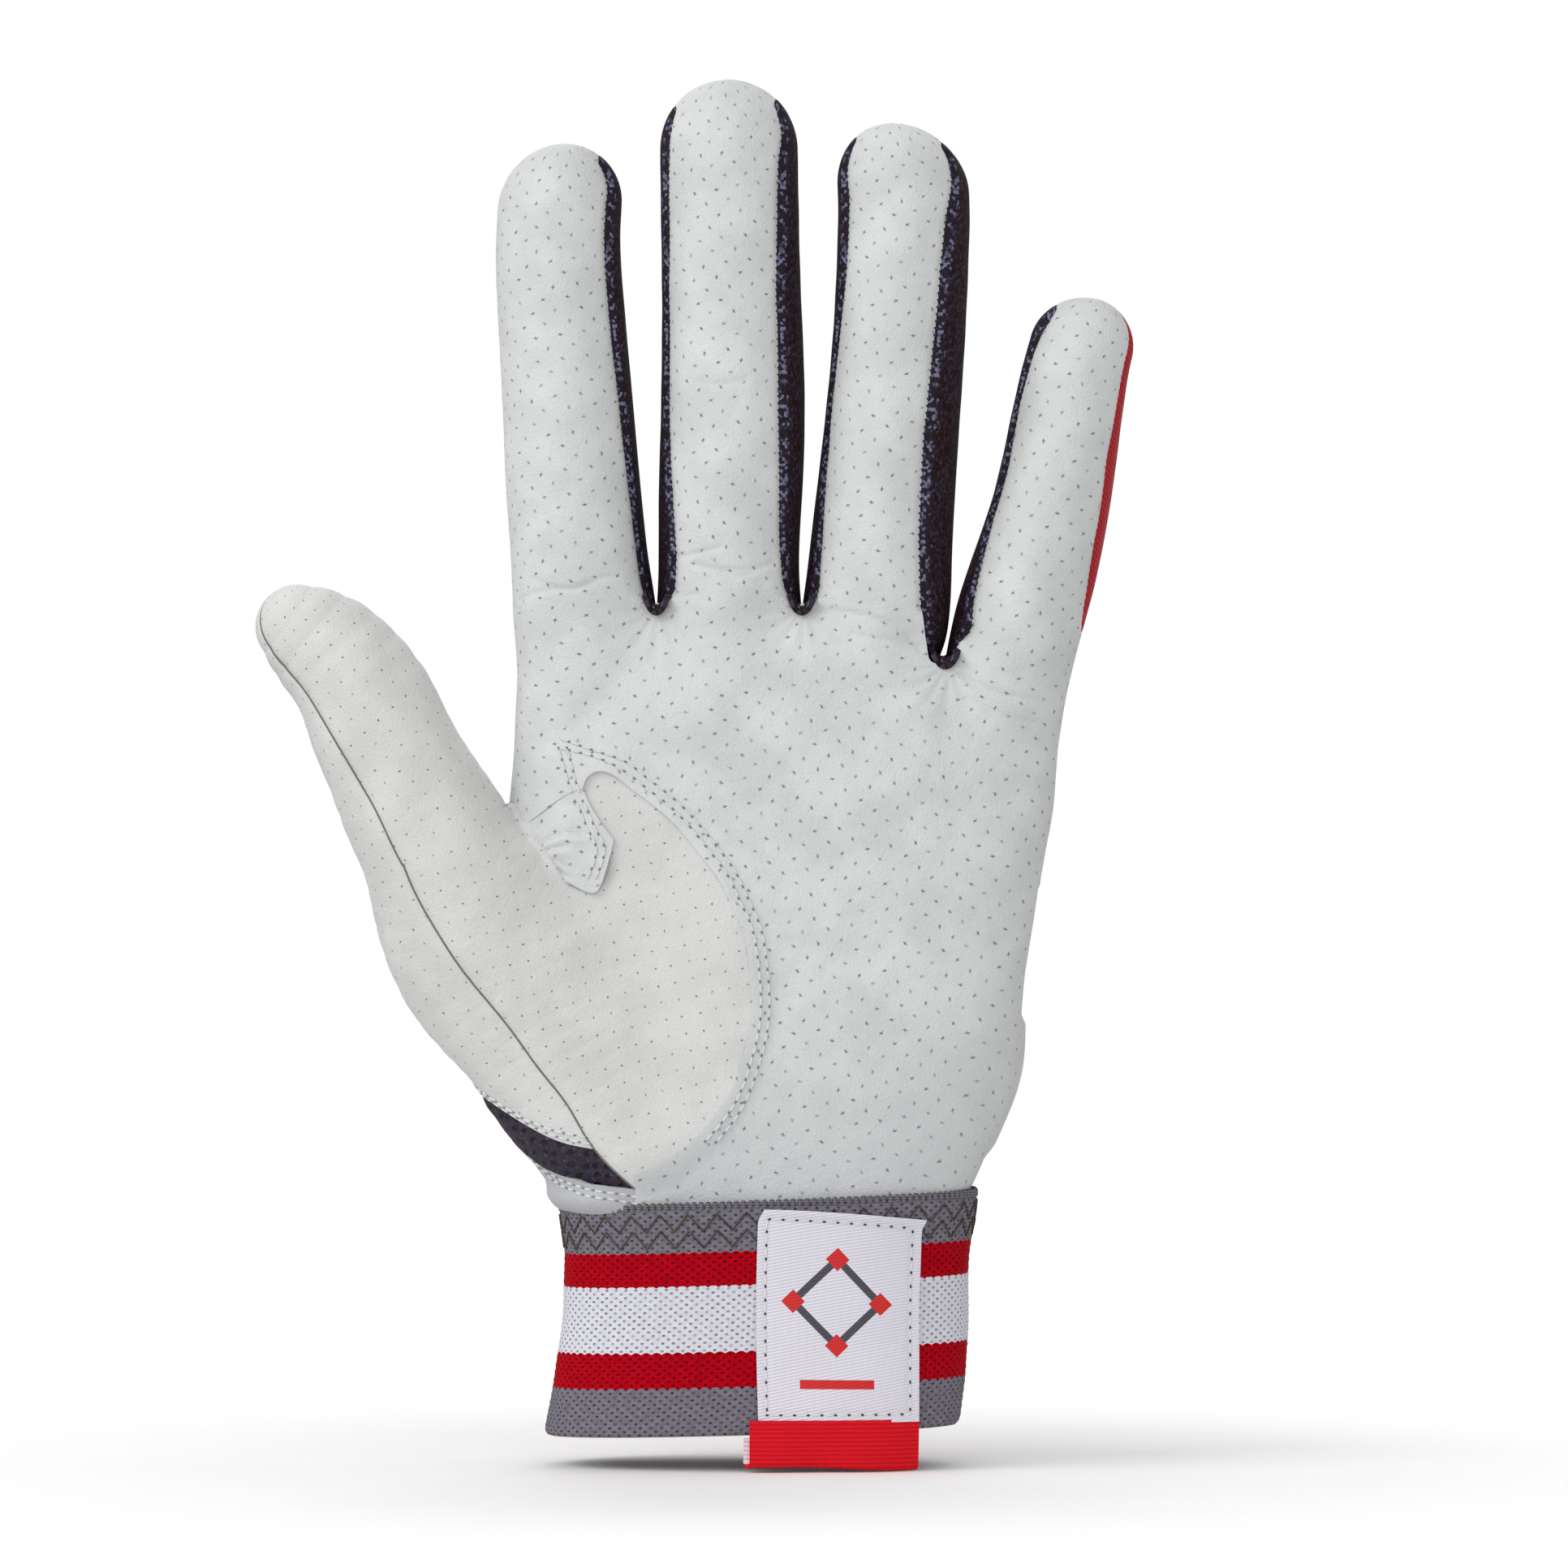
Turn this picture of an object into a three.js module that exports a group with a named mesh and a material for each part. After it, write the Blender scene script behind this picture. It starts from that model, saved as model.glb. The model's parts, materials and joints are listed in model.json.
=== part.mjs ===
// Batting glove for a left hand, standing on its wrist opening: fingers up +Z, palm to -Y, thumb to -X.
// Every panel is a pattern piece: its edges are drawn on the skin of a hand form, then it gets a thickness.
// Millimetres and degrees throughout.
import * as THREE from "three";

// Sheet goods
const LEATHER_THICKNESS = 1.2;
const KNIT_THICKNESS = 1.2;
const SEAM_GAP = 0.3;
const HINGE_GAP = 0.6;
const LAYER_GAP = 0.35;

// Wrist and cuff
const WRIST_HALF_WIDTH = 31;
const WRIST_HALF_DEPTH = 15.5;
const WRIST_CENTRE_X = 0.5;
const MOUTH_CENTRE_X = -1.5;
const CUFF_HEIGHT = 38;
const CUFF_THICKNESS = 1.6;
const CUFF_LAP = 8;
const CUFF_FLARE = 1;

// Palm
const PALM_LEFT = 41;
const PALM_FRONT_DEPTH = 13.5;
const PALM_BACK_DEPTH = 12.5;
const KNUCKLE_HEIGHT = 133.2;
const PALM_SQUARENESS = 3;
const SIDE_WRAP = 115;
const SIDE_ROUND = 9;

// Fingers, from the index to the little one. Lean is to the little-finger side.
// Seam angles are seen from the fingertip, 0 = little-finger side, 90 = palm side.
const WEB_WIDTH = 0.6;
const WEB_HALF_WIDTH = 1.8;
const WEB_HALF_DEPTHS = [4.5, 4.5, 6.9];
const WEB_SINK = 1.6;
const FINGERS = [
  {
    name: "index", length: 75.4, bend: 36, baseWidth: 23.1, tipWidth: 19.6, baseDepth: 23, tipDepth: 17.5,
    lean: -4.1, drop: 0, frontRight: 41, frontLeft: 205, backRight: -35, backLeft: 205,
  },
  {
    name: "middle", length: 86, bend: 40, baseWidth: 23, tipWidth: 22.2, baseDepth: 23, tipDepth: 18,
    lean: 0, drop: 0, frontRight: 48, frontLeft: 157, backRight: -35, backLeft: 215,
  },
  {
    name: "ring", length: 79, bend: 37, baseWidth: 23.6, tipWidth: 21.2, baseDepth: 23, tipDepth: 17.5,
    lean: 3.8, drop: 0, frontRight: 54, frontLeft: 160, backRight: -35, backLeft: 215,
  },
  {
    name: "little", length: 60, bend: 29, baseWidth: 20.6, tipWidth: 16, baseDepth: 21, tipDepth: 15.5,
    lean: 12.6, drop: 8.6, frontRight: 24, frontLeft: 152, backRight: 24, backLeft: 215,
  },
];
const FINGER_ROOT = 26;
const FINGER_FILLET = 2;
const TIP_MEET_ANGLE = 15;
const TIP_SEAM_ANGLE = 58;
const TIP_ANGLES = [22, 43, 58, 71, 84];
const STRIP_ANGLES = TIP_ANGLES.slice(0, 2);

// Thumb: a bent limb from the wrist to the tip, x and z of its middle line with radius and depths
const THUMB_LIMB = [
  { x: -23, z: 46, y: 0, radius: 12, front: 14, back: 13 },
  { x: -36.5, z: 67, y: -1, radius: 15.5, front: 16.5, back: 12 },
  { x: -49.5, z: 88, y: -2, radius: 14.6, front: 14.5, back: 11 },
  { x: -57, z: 104, y: -3, radius: 11.8, front: 12, back: 10 },
  { x: -64.5, z: 118, y: -4, radius: 10.6, front: 10.5, back: 9 },
  { x: -73, z: 128.2, y: -4, radius: 9, front: 9, back: 8 },
];
const THUMB_LEAN = -31;
const THUMB_CROTCH = { x: -41.2, z: 101.8 };
const THUMB_BASE_HALF = 13.5;
const THUMB_TIP_CENTRE = 38;
const THUMB_SEAM_WEB = -30;
const THUMB_SEAM_OUTER = 128;
const THUMB_BLEND = 7;
const THUMB_FADE_HEIGHT = 7;
const THUMB_FADE = 20;
const THUMB_EDGE_X = -66;

// Thenar panel: the curved cut in the palm leather round the base of the thumb
const THENAR_CENTRE = { x: -24.5, z: 72.2 };
const THENAR_WIDTH = 23;
const THENAR_HEIGHT = 31.2;
const THENAR_POWER = 1.4;
const THENAR_FOOT_SHARE = 0.095;
const THENAR_STEPS = 13;

// Flap at the crotch of the thumb: its low, high and palm-side edges as x and z
const FLAP_LOW = [[-38.6, 98], [-33, 90.4], [-26.4, 88.2]];
const FLAP_HIGH = [[-40.2, 100.6], [-35, 102], [-29, 103.6]];
const FLAP_SIDE = [[-26.4, 88.2], [-24.2, 95.7], [-29, 103.6]];

// Wrist pieces round the back
const BAND_TOP = 50;
const MESH_TOP = 62;
const BAND_EDGE_HEIGHT = 48.6;
const MESH_EDGE_HEIGHT = 54.8;
const SLIT_HALF_WIDTH = 4;
const MESH_FRONT = { x: -27, z: 46.6 };
const BAND_FRONT = { x: -34, z: 43.4 };
const OUTER_SEAM_MIDDLE = { x: -46.2, z: 72.7 };
const BACK_SEAM_LOW_X = -30;

// Closure tab
const TAB_LOW = 43;
const TAB_HIGH = 68;
const TAB_ROOT_X = -24;
const TAB_WRAP = 117;
const TAB_THICKNESS = 1.5;
const TAPE_THICKNESS = 0.9;
const TAPE_LENGTH = 26;
const TAPE_MARGIN = 4;
const TAB_ROOT_RISE = 3;
const TAB_ROOT_FALL = 9;
const TAB_CORNER = 3.5;

// Label and pull loop
const LABEL_LEFT = -0.6;
const LABEL_RIGHT = 24;
const LABEL_LOW = 2.2;
const LABEL_HIGH = 36.4;
const LABEL_THICKNESS = 0.7;
const LOOP_DROP = 5.4;
const LOOP_THICKNESS = 0.7;
const LOOP_ROOM = 0.7;

// Finishes read from the photograph
const whiteLeather = new THREE.MeshStandardMaterial({ color: "#dbe0e0", roughness: 0.62, metalness: 0 });
const sideKnit = new THREE.MeshStandardMaterial({ color: "#38323d", roughness: 0.85, metalness: 0 });
const redKnit = new THREE.MeshStandardMaterial({ color: "#c4161c", roughness: 0.85, metalness: 0 });
const darkMesh = new THREE.MeshStandardMaterial({ color: "#3a3038", roughness: 0.85, metalness: 0 });
const cuffWebbing = new THREE.MeshStandardMaterial({ color: "#6f6b73", roughness: 0.9, metalness: 0 });
const labelSatin = new THREE.MeshStandardMaterial({ color: "#edeaf3", roughness: 0.5, metalness: 0 });
const redRibbon = new THREE.MeshStandardMaterial({ color: "#d9281f", roughness: 0.6, metalness: 0 });
const tapeNylon = new THREE.MeshStandardMaterial({ color: "#d9d9dc", roughness: 0.9, metalness: 0 });

const radians = THREE.MathUtils.degToRad;
const lerp = THREE.MathUtils.lerp;
const clamp = THREE.MathUtils.clamp;
const smooth = (t) => THREE.MathUtils.smoothstep(t, 0, 1);
const vector = (x, y, z) => new THREE.Vector3(x, y, z);

// Values between rows of a table, read by their first column
function readTable(rows, key) {
  if (key <= rows[0][0]) return rows[0];
  for (let i = 1; i < rows.length; i += 1) {
    if (key <= rows[i][0]) {
      const t = (key - rows[i - 1][0]) / (rows[i][0] - rows[i - 1][0]);
      return rows[i].map((value, column) => lerp(rows[i - 1][column], value, t));
    }
  }
  return rows[rows.length - 1];
}

// Each finger's base point, direction and side direction follow from the widths before it in the row
let rowX = -PALM_LEFT;
for (const finger of FINGERS) {
  const lean = radians(finger.lean);
  finger.along = vector(Math.sin(lean), 0, Math.cos(lean));
  finger.side = vector(Math.cos(lean), 0, -Math.sin(lean));
  finger.base = vector(rowX + finger.baseWidth / 2, 0, KNUCKLE_HEIGHT - finger.drop);
  finger.tipRadius = finger.tipWidth / 2;
  finger.tipCentre = finger.length - finger.tipRadius * 1.05;
  rowX += finger.baseWidth + WEB_WIDTH;
}
const PALM_RIGHT = rowX - WEB_WIDTH;
const LITTLE = FINGERS[FINGERS.length - 1];
const LITTLE_WEB_X = LITTLE.base.x - LITTLE.baseWidth / 2;

// Palm sections: height, left edge, right edge, depth to the front, depth to the back
const wristRow = (z, x) => [z, x - WRIST_HALF_WIDTH, x + WRIST_HALF_WIDTH, WRIST_HALF_DEPTH, WRIST_HALF_DEPTH];
const PALM_ROWS = [
  wristRow(0, MOUTH_CENTRE_X),
  wristRow(CUFF_HEIGHT - CUFF_LAP - 6, WRIST_CENTRE_X),
  wristRow(CUFF_HEIGHT - 4, WRIST_CENTRE_X),
  [CUFF_HEIGHT + 6, -33, PALM_RIGHT - 15.6, WRIST_HALF_DEPTH + 0.5, WRIST_HALF_DEPTH],
  [70, -36, PALM_RIGHT - 10, PALM_FRONT_DEPTH + 1.5, PALM_BACK_DEPTH + 1.5],
  [100, -PALM_LEFT + 0.6, PALM_RIGHT - 4.6, PALM_FRONT_DEPTH, PALM_BACK_DEPTH],
  [KNUCKLE_HEIGHT, -PALM_LEFT + 0.6, PALM_RIGHT, LITTLE.baseDepth / 2, LITTLE.baseDepth / 2],
];

// Height of the palm's top between the fingers
function palmTop(x) {
  const fall = clamp((x - LITTLE_WEB_X + 2) / 9, 0, 2.2);
  return KNUCKLE_HEIGHT - fall * LITTLE.drop;
}

// Distance-like value of an oval section: below 0 inside, 0 on the skin
function ovalField(across, halfWidth, y, front, back, power) {
  const depth = y < 0 ? front : back;
  const sum = Math.abs(across / halfWidth) ** power + Math.abs(y / depth) ** power;
  return (sum ** (1 / power) - 1) * Math.min(halfWidth, depth);
}

function palmField(p) {
  const [, left, right, front, back] = readTable(PALM_ROWS, p.z);
  const side = ovalField(p.x - (left + right) / 2, (right - left) / 2, p.y, front, back, PALM_SQUARENESS);
  return Math.max(side, p.z - palmTop(p.x));
}

function fingerField(finger, p) {
  const offset = p.clone().sub(finger.base);
  const along = clamp(offset.dot(finger.along), -FINGER_ROOT, finger.tipCentre);
  const t = clamp(along / finger.tipCentre, -0.2, 1);
  const halfWidth = lerp(finger.baseWidth, finger.tipWidth, t) / 2;
  const depth = lerp(finger.baseDepth, finger.tipDepth, t) / 2;
  const beyond = offset.dot(finger.along) - along;
  const across = Math.hypot(offset.dot(finger.side), beyond);
  return ovalField(across, halfWidth, p.y, depth, depth, 2);
}

function thumbField(p) {
  let nearest = Infinity;
  for (let i = 1; i < THUMB_LIMB.length; i += 1) {
    const a = THUMB_LIMB[i - 1];
    const b = THUMB_LIMB[i];
    const dx = b.x - a.x;
    const dz = b.z - a.z;
    const t = clamp(((p.x - a.x) * dx + (p.z - a.z) * dz) / (dx * dx + dz * dz), 0, 1);
    const across = Math.hypot(p.x - lerp(a.x, b.x, t), p.z - lerp(a.z, b.z, t));
    const front = lerp(a.front, b.front, t);
    const back = lerp(a.back, b.back, t);
    const y = p.y - lerp(a.y, b.y, t);
    nearest = Math.min(nearest, ovalField(across, lerp(a.radius, b.radius, t), y, front, back, 2));
  }
  return nearest;
}

// Join of two shapes with a fillet about as wide as the blend
function join(a, b, blend) {
  const near = Math.max(blend - Math.abs(a - b), 0) / blend;
  return Math.min(a, b) - near * near * blend * 0.25;
}

function palmAndFingers(p) {
  return FINGERS.reduce((value, finger) => join(value, fingerField(finger, p), FINGER_FILLET),
    palmField(p));
}

// The whole hand below the thumb's crotch. The thumb fades out above the cuff, so the hem stays a plain oval.
function handField(p) {
  if (p.z > THUMB_CROTCH.z) return palmAndFingers(p);
  const fade = THUMB_FADE * (1 - smooth((p.z - CUFF_HEIGHT - 2) / THUMB_FADE_HEIGHT));
  return join(palmAndFingers(p), thumbField(p) + fade, THUMB_BLEND);
}

// First place where a ray from inside a shape leaves it
function reach(origin, direction, field) {
  const at = (t) => field(direction.clone().multiplyScalar(t).add(origin));
  let inside = 0;
  let outside = 1.5;
  while (at(outside) < 0 && outside < 120) {
    inside = outside;
    outside += 1.5;
  }
  for (let i = 0; i < 22; i += 1) {
    const middle = (inside + outside) / 2;
    if (at(middle) < 0) inside = middle;
    else outside = middle;
  }
  return outside;
}

// The unrolled skin of the palm and wrist: z is height, q runs round. On the front q is x. Past the sides q
// follows an arc round the edge, then goes on across the back.
function edgesAt(z) {
  const [, left, right] = readTable(PALM_ROWS, z);
  const thumbSide = z < THUMB_CROTCH.z ? -reach(vector(0, 0, z), vector(-1, 0, 0), handField) : left;
  return { left: thumbSide + SIDE_ROUND, right: right - SIDE_ROUND };
}

function leftWrap(degrees, z) {
  return edgesAt(z).left - SIDE_ROUND * radians(degrees);
}

function rightWrap(degrees, z) {
  return edgesAt(z).right + SIDE_ROUND * radians(degrees);
}

function backFromLeft(x, z) {
  const { left } = edgesAt(z);
  return left - SIDE_ROUND * Math.PI - (x - left);
}

function backFromRight(x, z) {
  const { right } = edgesAt(z);
  return right + SIDE_ROUND * Math.PI + (right - x);
}

function skinRay(q, z) {
  const { left, right } = edgesAt(z);
  const past = q < left ? left - q : q - right;
  const out = q < left ? -1 : 1;
  const near = q < left ? left : right;
  if (past <= 0) return { origin: vector(q, 0, z), direction: vector(0, -1, 0) };
  const firstTurn = Math.min(past / SIDE_ROUND, Math.PI);
  const rest = Math.max(past - SIDE_ROUND * Math.PI, 0);
  const across = Math.min(rest, right - left);
  const angle = firstTurn + (rest - across) / SIDE_ROUND;
  return {
    origin: vector(near - out * across, 0, z),
    direction: vector(out * Math.sin(angle), -Math.cos(angle), 0),
  };
}

// Arc coordinate of a front place given by its plain x
function frontAt(x, z) {
  const { left } = edgesAt(z);
  if (x >= left) return x;
  let low = left - SIDE_ROUND * Math.PI * 0.5;
  let high = left;
  for (let i = 0; i < 16; i += 1) {
    const middle = (low + high) / 2;
    const ray = skinRay(middle, z);
    const hit = ray.origin.x + ray.direction.x * reach(ray.origin, ray.direction, handField);
    if (hit < x) low = middle;
    else high = middle;
  }
  return high;
}

// Length of a line through points up to one of them
function lineLength(points, last) {
  let length = 0;
  for (let i = 1; i <= last; i += 1) {
    length += Math.hypot(points[i][0] - points[i - 1][0], points[i][1] - points[i - 1][1]);
  }
  return length;
}

// A place on a line through points, by the share of its length
function alongLine(points, share) {
  const rows = points.map((point, i) => [lineLength(points, i), ...point]);
  return readTable(rows, share * rows[rows.length - 1][0]).slice(1);
}

function evenShares(count) {
  return Array.from({ length: count + 1 }, (_, i) => i / count);
}

// Shares of a line's length at its corners, with each long stretch cut in equal steps
function cornerShares(points, steps) {
  const total = lineLength(points, points.length - 1);
  const shares = [0];
  for (let i = 1; i < points.length; i += 1) {
    const [from, to] = [lineLength(points, i - 1) / total, lineLength(points, i) / total];
    const count = (to - from) * total > 9 ? steps : 1;
    for (let k = 1; k <= count; k += 1) {
      shares.push(lerp(from, to, k / count));
    }
  }
  return shares;
}

// Four-sided patch between its edges (a Coons patch): u from left to right, v from low to high
function patchGrid(edges, columns, rows) {
  const grid = [];
  const shares = Array.isArray(columns) ? columns : evenShares(columns);
  const heights = Array.isArray(rows) ? rows : evenShares(rows);
  for (const v of heights) {
    const line = [];
    for (const u of shares) {
      const [low, high] = [edges.low(u), edges.high(u)];
      const [left, right] = [edges.left(v), edges.right(v)];
      const corners = [edges.low(0), edges.low(1), edges.high(0), edges.high(1)];
      line.push([0, 1].map((k) => (1 - v) * low[k] + v * high[k] + (1 - u) * left[k] + u * right[k]
        - (1 - u) * (1 - v) * corners[0][k] - u * (1 - v) * corners[1][k]
        - (1 - u) * v * corners[2][k] - u * v * corners[3][k]));
    }
    grid.push(line);
  }
  return grid;
}

// Draw the rim of a grid in by half a seam
function trimGrid(grid, trim) {
  const rows = grid.length - 1;
  const columns = grid[0].length - 1;
  const pull = (from, to) => {
    const length = Math.hypot(to[0] - from[0], to[1] - from[1]);
    return from.map((value, k) => value + (to[k] - value) * Math.min(trim / length, 0.5));
  };
  for (let j = 0; j <= rows; j += 1) {
    grid[j][0] = pull(grid[j][0], grid[j][1]);
    grid[j][columns] = pull(grid[j][columns], grid[j][columns - 1]);
  }
  for (let i = 0; i <= columns; i += 1) {
    grid[0][i] = pull(grid[0][i], grid[1][i]);
    grid[rows][i] = pull(grid[rows][i], grid[rows - 1][i]);
  }
  return grid;
}

// Closed solid between an outer and an inner grid of points
function sheetSolid(outer, inner, closed) {
  const rows = outer.length;
  const columns = outer[0].length;
  const positions = [...outer.flat(), ...inner.flat()].flatMap((p) => [p.x, p.y, p.z]);
  const top = (j, i) => j * columns + (i % columns);
  const under = (j, i) => rows * columns + top(j, i);
  const faces = [];
  const quad = (a, b, c, d) => faces.push([a, b, c], [a, c, d]);
  const span = closed ? columns : columns - 1;
  for (let j = 0; j < rows - 1; j += 1) {
    for (let i = 0; i < span; i += 1) {
      quad(top(j, i), top(j, i + 1), top(j + 1, i + 1), top(j + 1, i));
      quad(under(j, i), under(j + 1, i), under(j + 1, i + 1), under(j, i + 1));
    }
  }
  for (let i = 0; i < span; i += 1) {
    quad(top(0, i), under(0, i), under(0, i + 1), top(0, i + 1));
    quad(top(rows - 1, i), top(rows - 1, i + 1), under(rows - 1, i + 1), under(rows - 1, i));
  }
  for (let j = 0; j < rows - 1 && !closed; j += 1) {
    quad(top(j, 0), top(j + 1, 0), under(j + 1, 0), under(j, 0));
    quad(top(j, span), under(j, span), under(j + 1, span), top(j + 1, span));
  }
  const geometry = new THREE.BufferGeometry();
  geometry.setAttribute("position", new THREE.Float32BufferAttribute(positions, 3));
  const turned = volumeOf(positions, faces) < 0 ? faces.map(([a, b, c]) => [a, c, b]) : faces;
  geometry.setIndex(turned.flat());
  geometry.computeVertexNormals();
  return geometry;
}

// Signed volume, above 0 when the faces look out
function volumeOf(positions, faces) {
  const at = (i) => vector(positions[3 * i], positions[3 * i + 1], positions[3 * i + 2]);
  return faces.reduce((sum, [a, b, c]) => sum + at(a).dot(at(b).cross(at(c))) / 6, 0);
}

function named(name, geometry, material) {
  const mesh = new THREE.Mesh(geometry, material);
  mesh.name = name;
  return mesh;
}

// Solid from rays: each ray gives an outer point a height over the skin and an inner point under it
function raySolid(grid, rayAt, field, height, thickness, closed = false) {
  const place = (cell, over) => {
    const ray = rayAt(cell[0], cell[1]);
    const distance = reach(ray.origin, ray.direction, field) + over;
    return ray.direction.clone().multiplyScalar(distance).add(ray.origin);
  };
  const over = (cell) => (typeof height === "function" ? height(cell[0], cell[1]) : height);
  const outer = grid.map((line) => line.map((cell) => place(cell, over(cell))));
  const inner = grid.map((line) => line.map((cell) => place(cell, over(cell) - thickness)));
  return sheetSolid(outer, inner, closed);
}

function skinPanel(name, edges, columns, rows, material, thickness = LEATHER_THICKNESS, height = 0) {
  const grid = trimGrid(patchGrid(edges, columns, rows), SEAM_GAP / 2);
  return named(name, raySolid(grid, skinRay, handField, height, thickness), material);
}

// Ray across a finger or thumb. t runs along the middle line and then over the tip, angle goes round it.
function limbRay(limb, t, angle) {
  const tilt = Math.max(t - limb.tipCentre, 0) / limb.tipRadius;
  const around = radians(angle);
  const radial = limb.side.clone().multiplyScalar(Math.cos(around)).add(vector(0, -Math.sin(around), 0));
  return {
    origin: limb.along.clone().multiplyScalar(Math.min(t, limb.tipCentre)).add(limb.base),
    direction: radial.multiplyScalar(Math.cos(tilt)).addScaledVector(limb.along, Math.sin(tilt)),
  };
}

// Share of the way over the tip to the place where a side strip has run out
function tipShare(limb, t) {
  return smooth((t - limb.tipCentre) / (limb.tipRadius * radians(TIP_SEAM_ANGLE)));
}

// Stations from a place on the middle line to the middle of the tip, then over the tip
function tipStations(limb, from, steps, angles) {
  const straight = evenShares(steps).map((share) => lerp(from, limb.tipCentre, share));
  return [...straight, ...angles.map((angle) => limb.tipCentre + limb.tipRadius * radians(angle))];
}

// One panel of a limb between two seam angles, through its stations
function limbPanel(name, limb, field, stations, seams, columns, material, thickness) {
  const grid = [];
  for (const t of stations) {
    const [right, left] = seams(tipShare(limb, t));
    const tilt = Math.max(t - limb.tipCentre, 0) / limb.tipRadius;
    const radius = limb.tipRadius * Math.max(Math.cos(tilt), 0.1);
    const trim = THREE.MathUtils.radToDeg(SEAM_GAP / 2 / radius);
    const line = [];
    for (let i = 0; i <= columns; i += 1) {
      line.push([t, lerp(right + trim, left - trim, i / columns)]);
    }
    grid.push(line);
  }
  const rayAt = (t, angle) => limbRay(limb, t, angle);
  return named(name, raySolid(grid, rayAt, field, 0, thickness), material);
}

function fingerGroup(finger, index) {
  const group = new THREE.Group();
  group.name = finger.name;
  const field = (p) => fingerField(finger, p);
  const hasLeftStrip = index > 0;
  const hasRightStrip = index < FINGERS.length - 1;
  const rightMeet = hasRightStrip ? -TIP_MEET_ANGLE : finger.frontRight;
  const leftMeet = hasLeftStrip ? 180 + TIP_MEET_ANGLE : finger.frontLeft;
  const front = (s) => [lerp(finger.frontRight, rightMeet, s), lerp(finger.frontLeft, leftMeet, s)];
  const back = (s) => [lerp(finger.backLeft, leftMeet, s), lerp(finger.backRight, rightMeet, s) + 360];
  const right = (s) => [lerp(finger.backRight, rightMeet, s), lerp(finger.frontRight, rightMeet, s)];
  const left = (s) => [lerp(finger.frontLeft, leftMeet, s), lerp(finger.backLeft, leftMeet, s)];
  const gap = HINGE_GAP / 2;
  const base = evenShares(3).map((share) => lerp(gap, finger.bend - gap, share));
  const spans = [
    { part: "base", full: base, strip: base },
    {
      part: "end",
      full: tipStations(finger, finger.bend + gap, 3, TIP_ANGLES),
      strip: tipStations(finger, finger.bend + gap, 3, STRIP_ANGLES),
    },
  ];
  for (const span of spans) {
    const add = (place, seams, stations, columns, material, thickness) => group.add(limbPanel(
      `${finger.name}_${span.part}_${place}`, finger, field, stations, seams, columns, material, thickness));
    add("front", front, span.full, 6, whiteLeather, LEATHER_THICKNESS);
    add("back", back, span.full, 5, redKnit, KNIT_THICKNESS);
    if (hasRightStrip) add("little_side", right, span.strip, 2, sideKnit, KNIT_THICKNESS);
    if (hasLeftStrip) add("thumb_side", left, span.strip, 2, sideKnit, KNIT_THICKNESS);
  }
  return group;
}

// Thumb: its middle line for rays is straight, from the middle of the hinge line
const thumbLean = radians(THUMB_LEAN);
const THUMB = {
  along: vector(Math.sin(thumbLean), 0, Math.cos(thumbLean)),
  side: vector(Math.cos(thumbLean), 0, -Math.sin(thumbLean)),
  tipCentre: THUMB_TIP_CENTRE,
  tipRadius: THUMB_LIMB[THUMB_LIMB.length - 1].radius,
};
THUMB.base = vector(THUMB_CROTCH.x, THUMB_LIMB[3].y, THUMB_CROTCH.z)
  .addScaledVector(THUMB.side, -THUMB_BASE_HALF);

// Height of the thumb's hinge plane at x
function thumbPlane(x) {
  return THUMB_CROTCH.z + (x - THUMB_CROTCH.x) * THUMB.side.z / THUMB.side.x;
}

function thumbGroup() {
  const group = new THREE.Group();
  group.name = "thumb";
  const stations = tipStations(THUMB, HINGE_GAP / 2, 4, TIP_ANGLES);
  const front = () => [THUMB_SEAM_WEB, THUMB_SEAM_OUTER];
  const back = () => [THUMB_SEAM_OUTER, THUMB_SEAM_WEB + 360];
  group.add(limbPanel("thumb_front", THUMB, thumbField, stations, front, 7, whiteLeather, LEATHER_THICKNESS));
  group.add(limbPanel("thumb_back", THUMB, thumbField, stations, back, 8, whiteLeather, LEATHER_THICKNESS));
  return group;
}

// Seam round the thenar panel, from its low end (share 0) to the top of its lobe (share 1)
function thenarSeam(share) {
  const turn = Math.PI * (1 - share);
  const x = THENAR_CENTRE.x + THENAR_WIDTH * Math.sin(turn) ** THENAR_POWER;
  return [x, THENAR_CENTRE.z + THENAR_HEIGHT * Math.cos(turn)];
}

// Upper edge of the palm and back panels: the hinge lines of the four fingers and the steps between them
function knuckleLine(wrapLeft, wrapRight, toQ) {
  const points = [];
  FINGERS.forEach((finger, i) => {
    const drop = HINGE_GAP / 2;
    const half = finger.baseWidth / 2 + WEB_WIDTH / 2;
    const reachLeft = i === 0 ? half + 3 : half;
    const reachRight = i === FINGERS.length - 1 ? half + 3 : half;
    for (const across of [-reachLeft, reachRight]) {
      const place = finger.base.clone()
        .addScaledVector(finger.side, across)
        .addScaledVector(finger.along, -drop);
      points.push([place.x, place.z]);
    }
  });
  const last = points.length - 1;
  return points.map(([x, z], i) => {
    if (i === 0) return [leftWrap(wrapLeft, z), z];
    if (i === last) return [rightWrap(wrapRight, z), z];
    return [toQ(x, z), z];
  });
}

const HEM = CUFF_HEIGHT - CUFF_LAP;
const thenarTop = thenarSeam(1);
const seamFoot = thenarSeam(THENAR_FOOT_SHARE);
const thumbOuterX = THUMB.base.x - 6;
const hingeLeft = [thumbOuterX, thumbPlane(thumbOuterX) - HINGE_GAP / 2];
const webPoint = [THUMB_CROTCH.x + 1, THUMB_CROTCH.z - 0.4];

// Seam between palm and back on the index side, above the thumb's crotch
function indexSideSeam(wrap) {
  return evenShares(4).slice(0, -1).map((share) => {
    const z = lerp(THUMB_CROTCH.z + 1, KNUCKLE_HEIGHT, share);
    return [wrap(z), z];
  });
}

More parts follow.
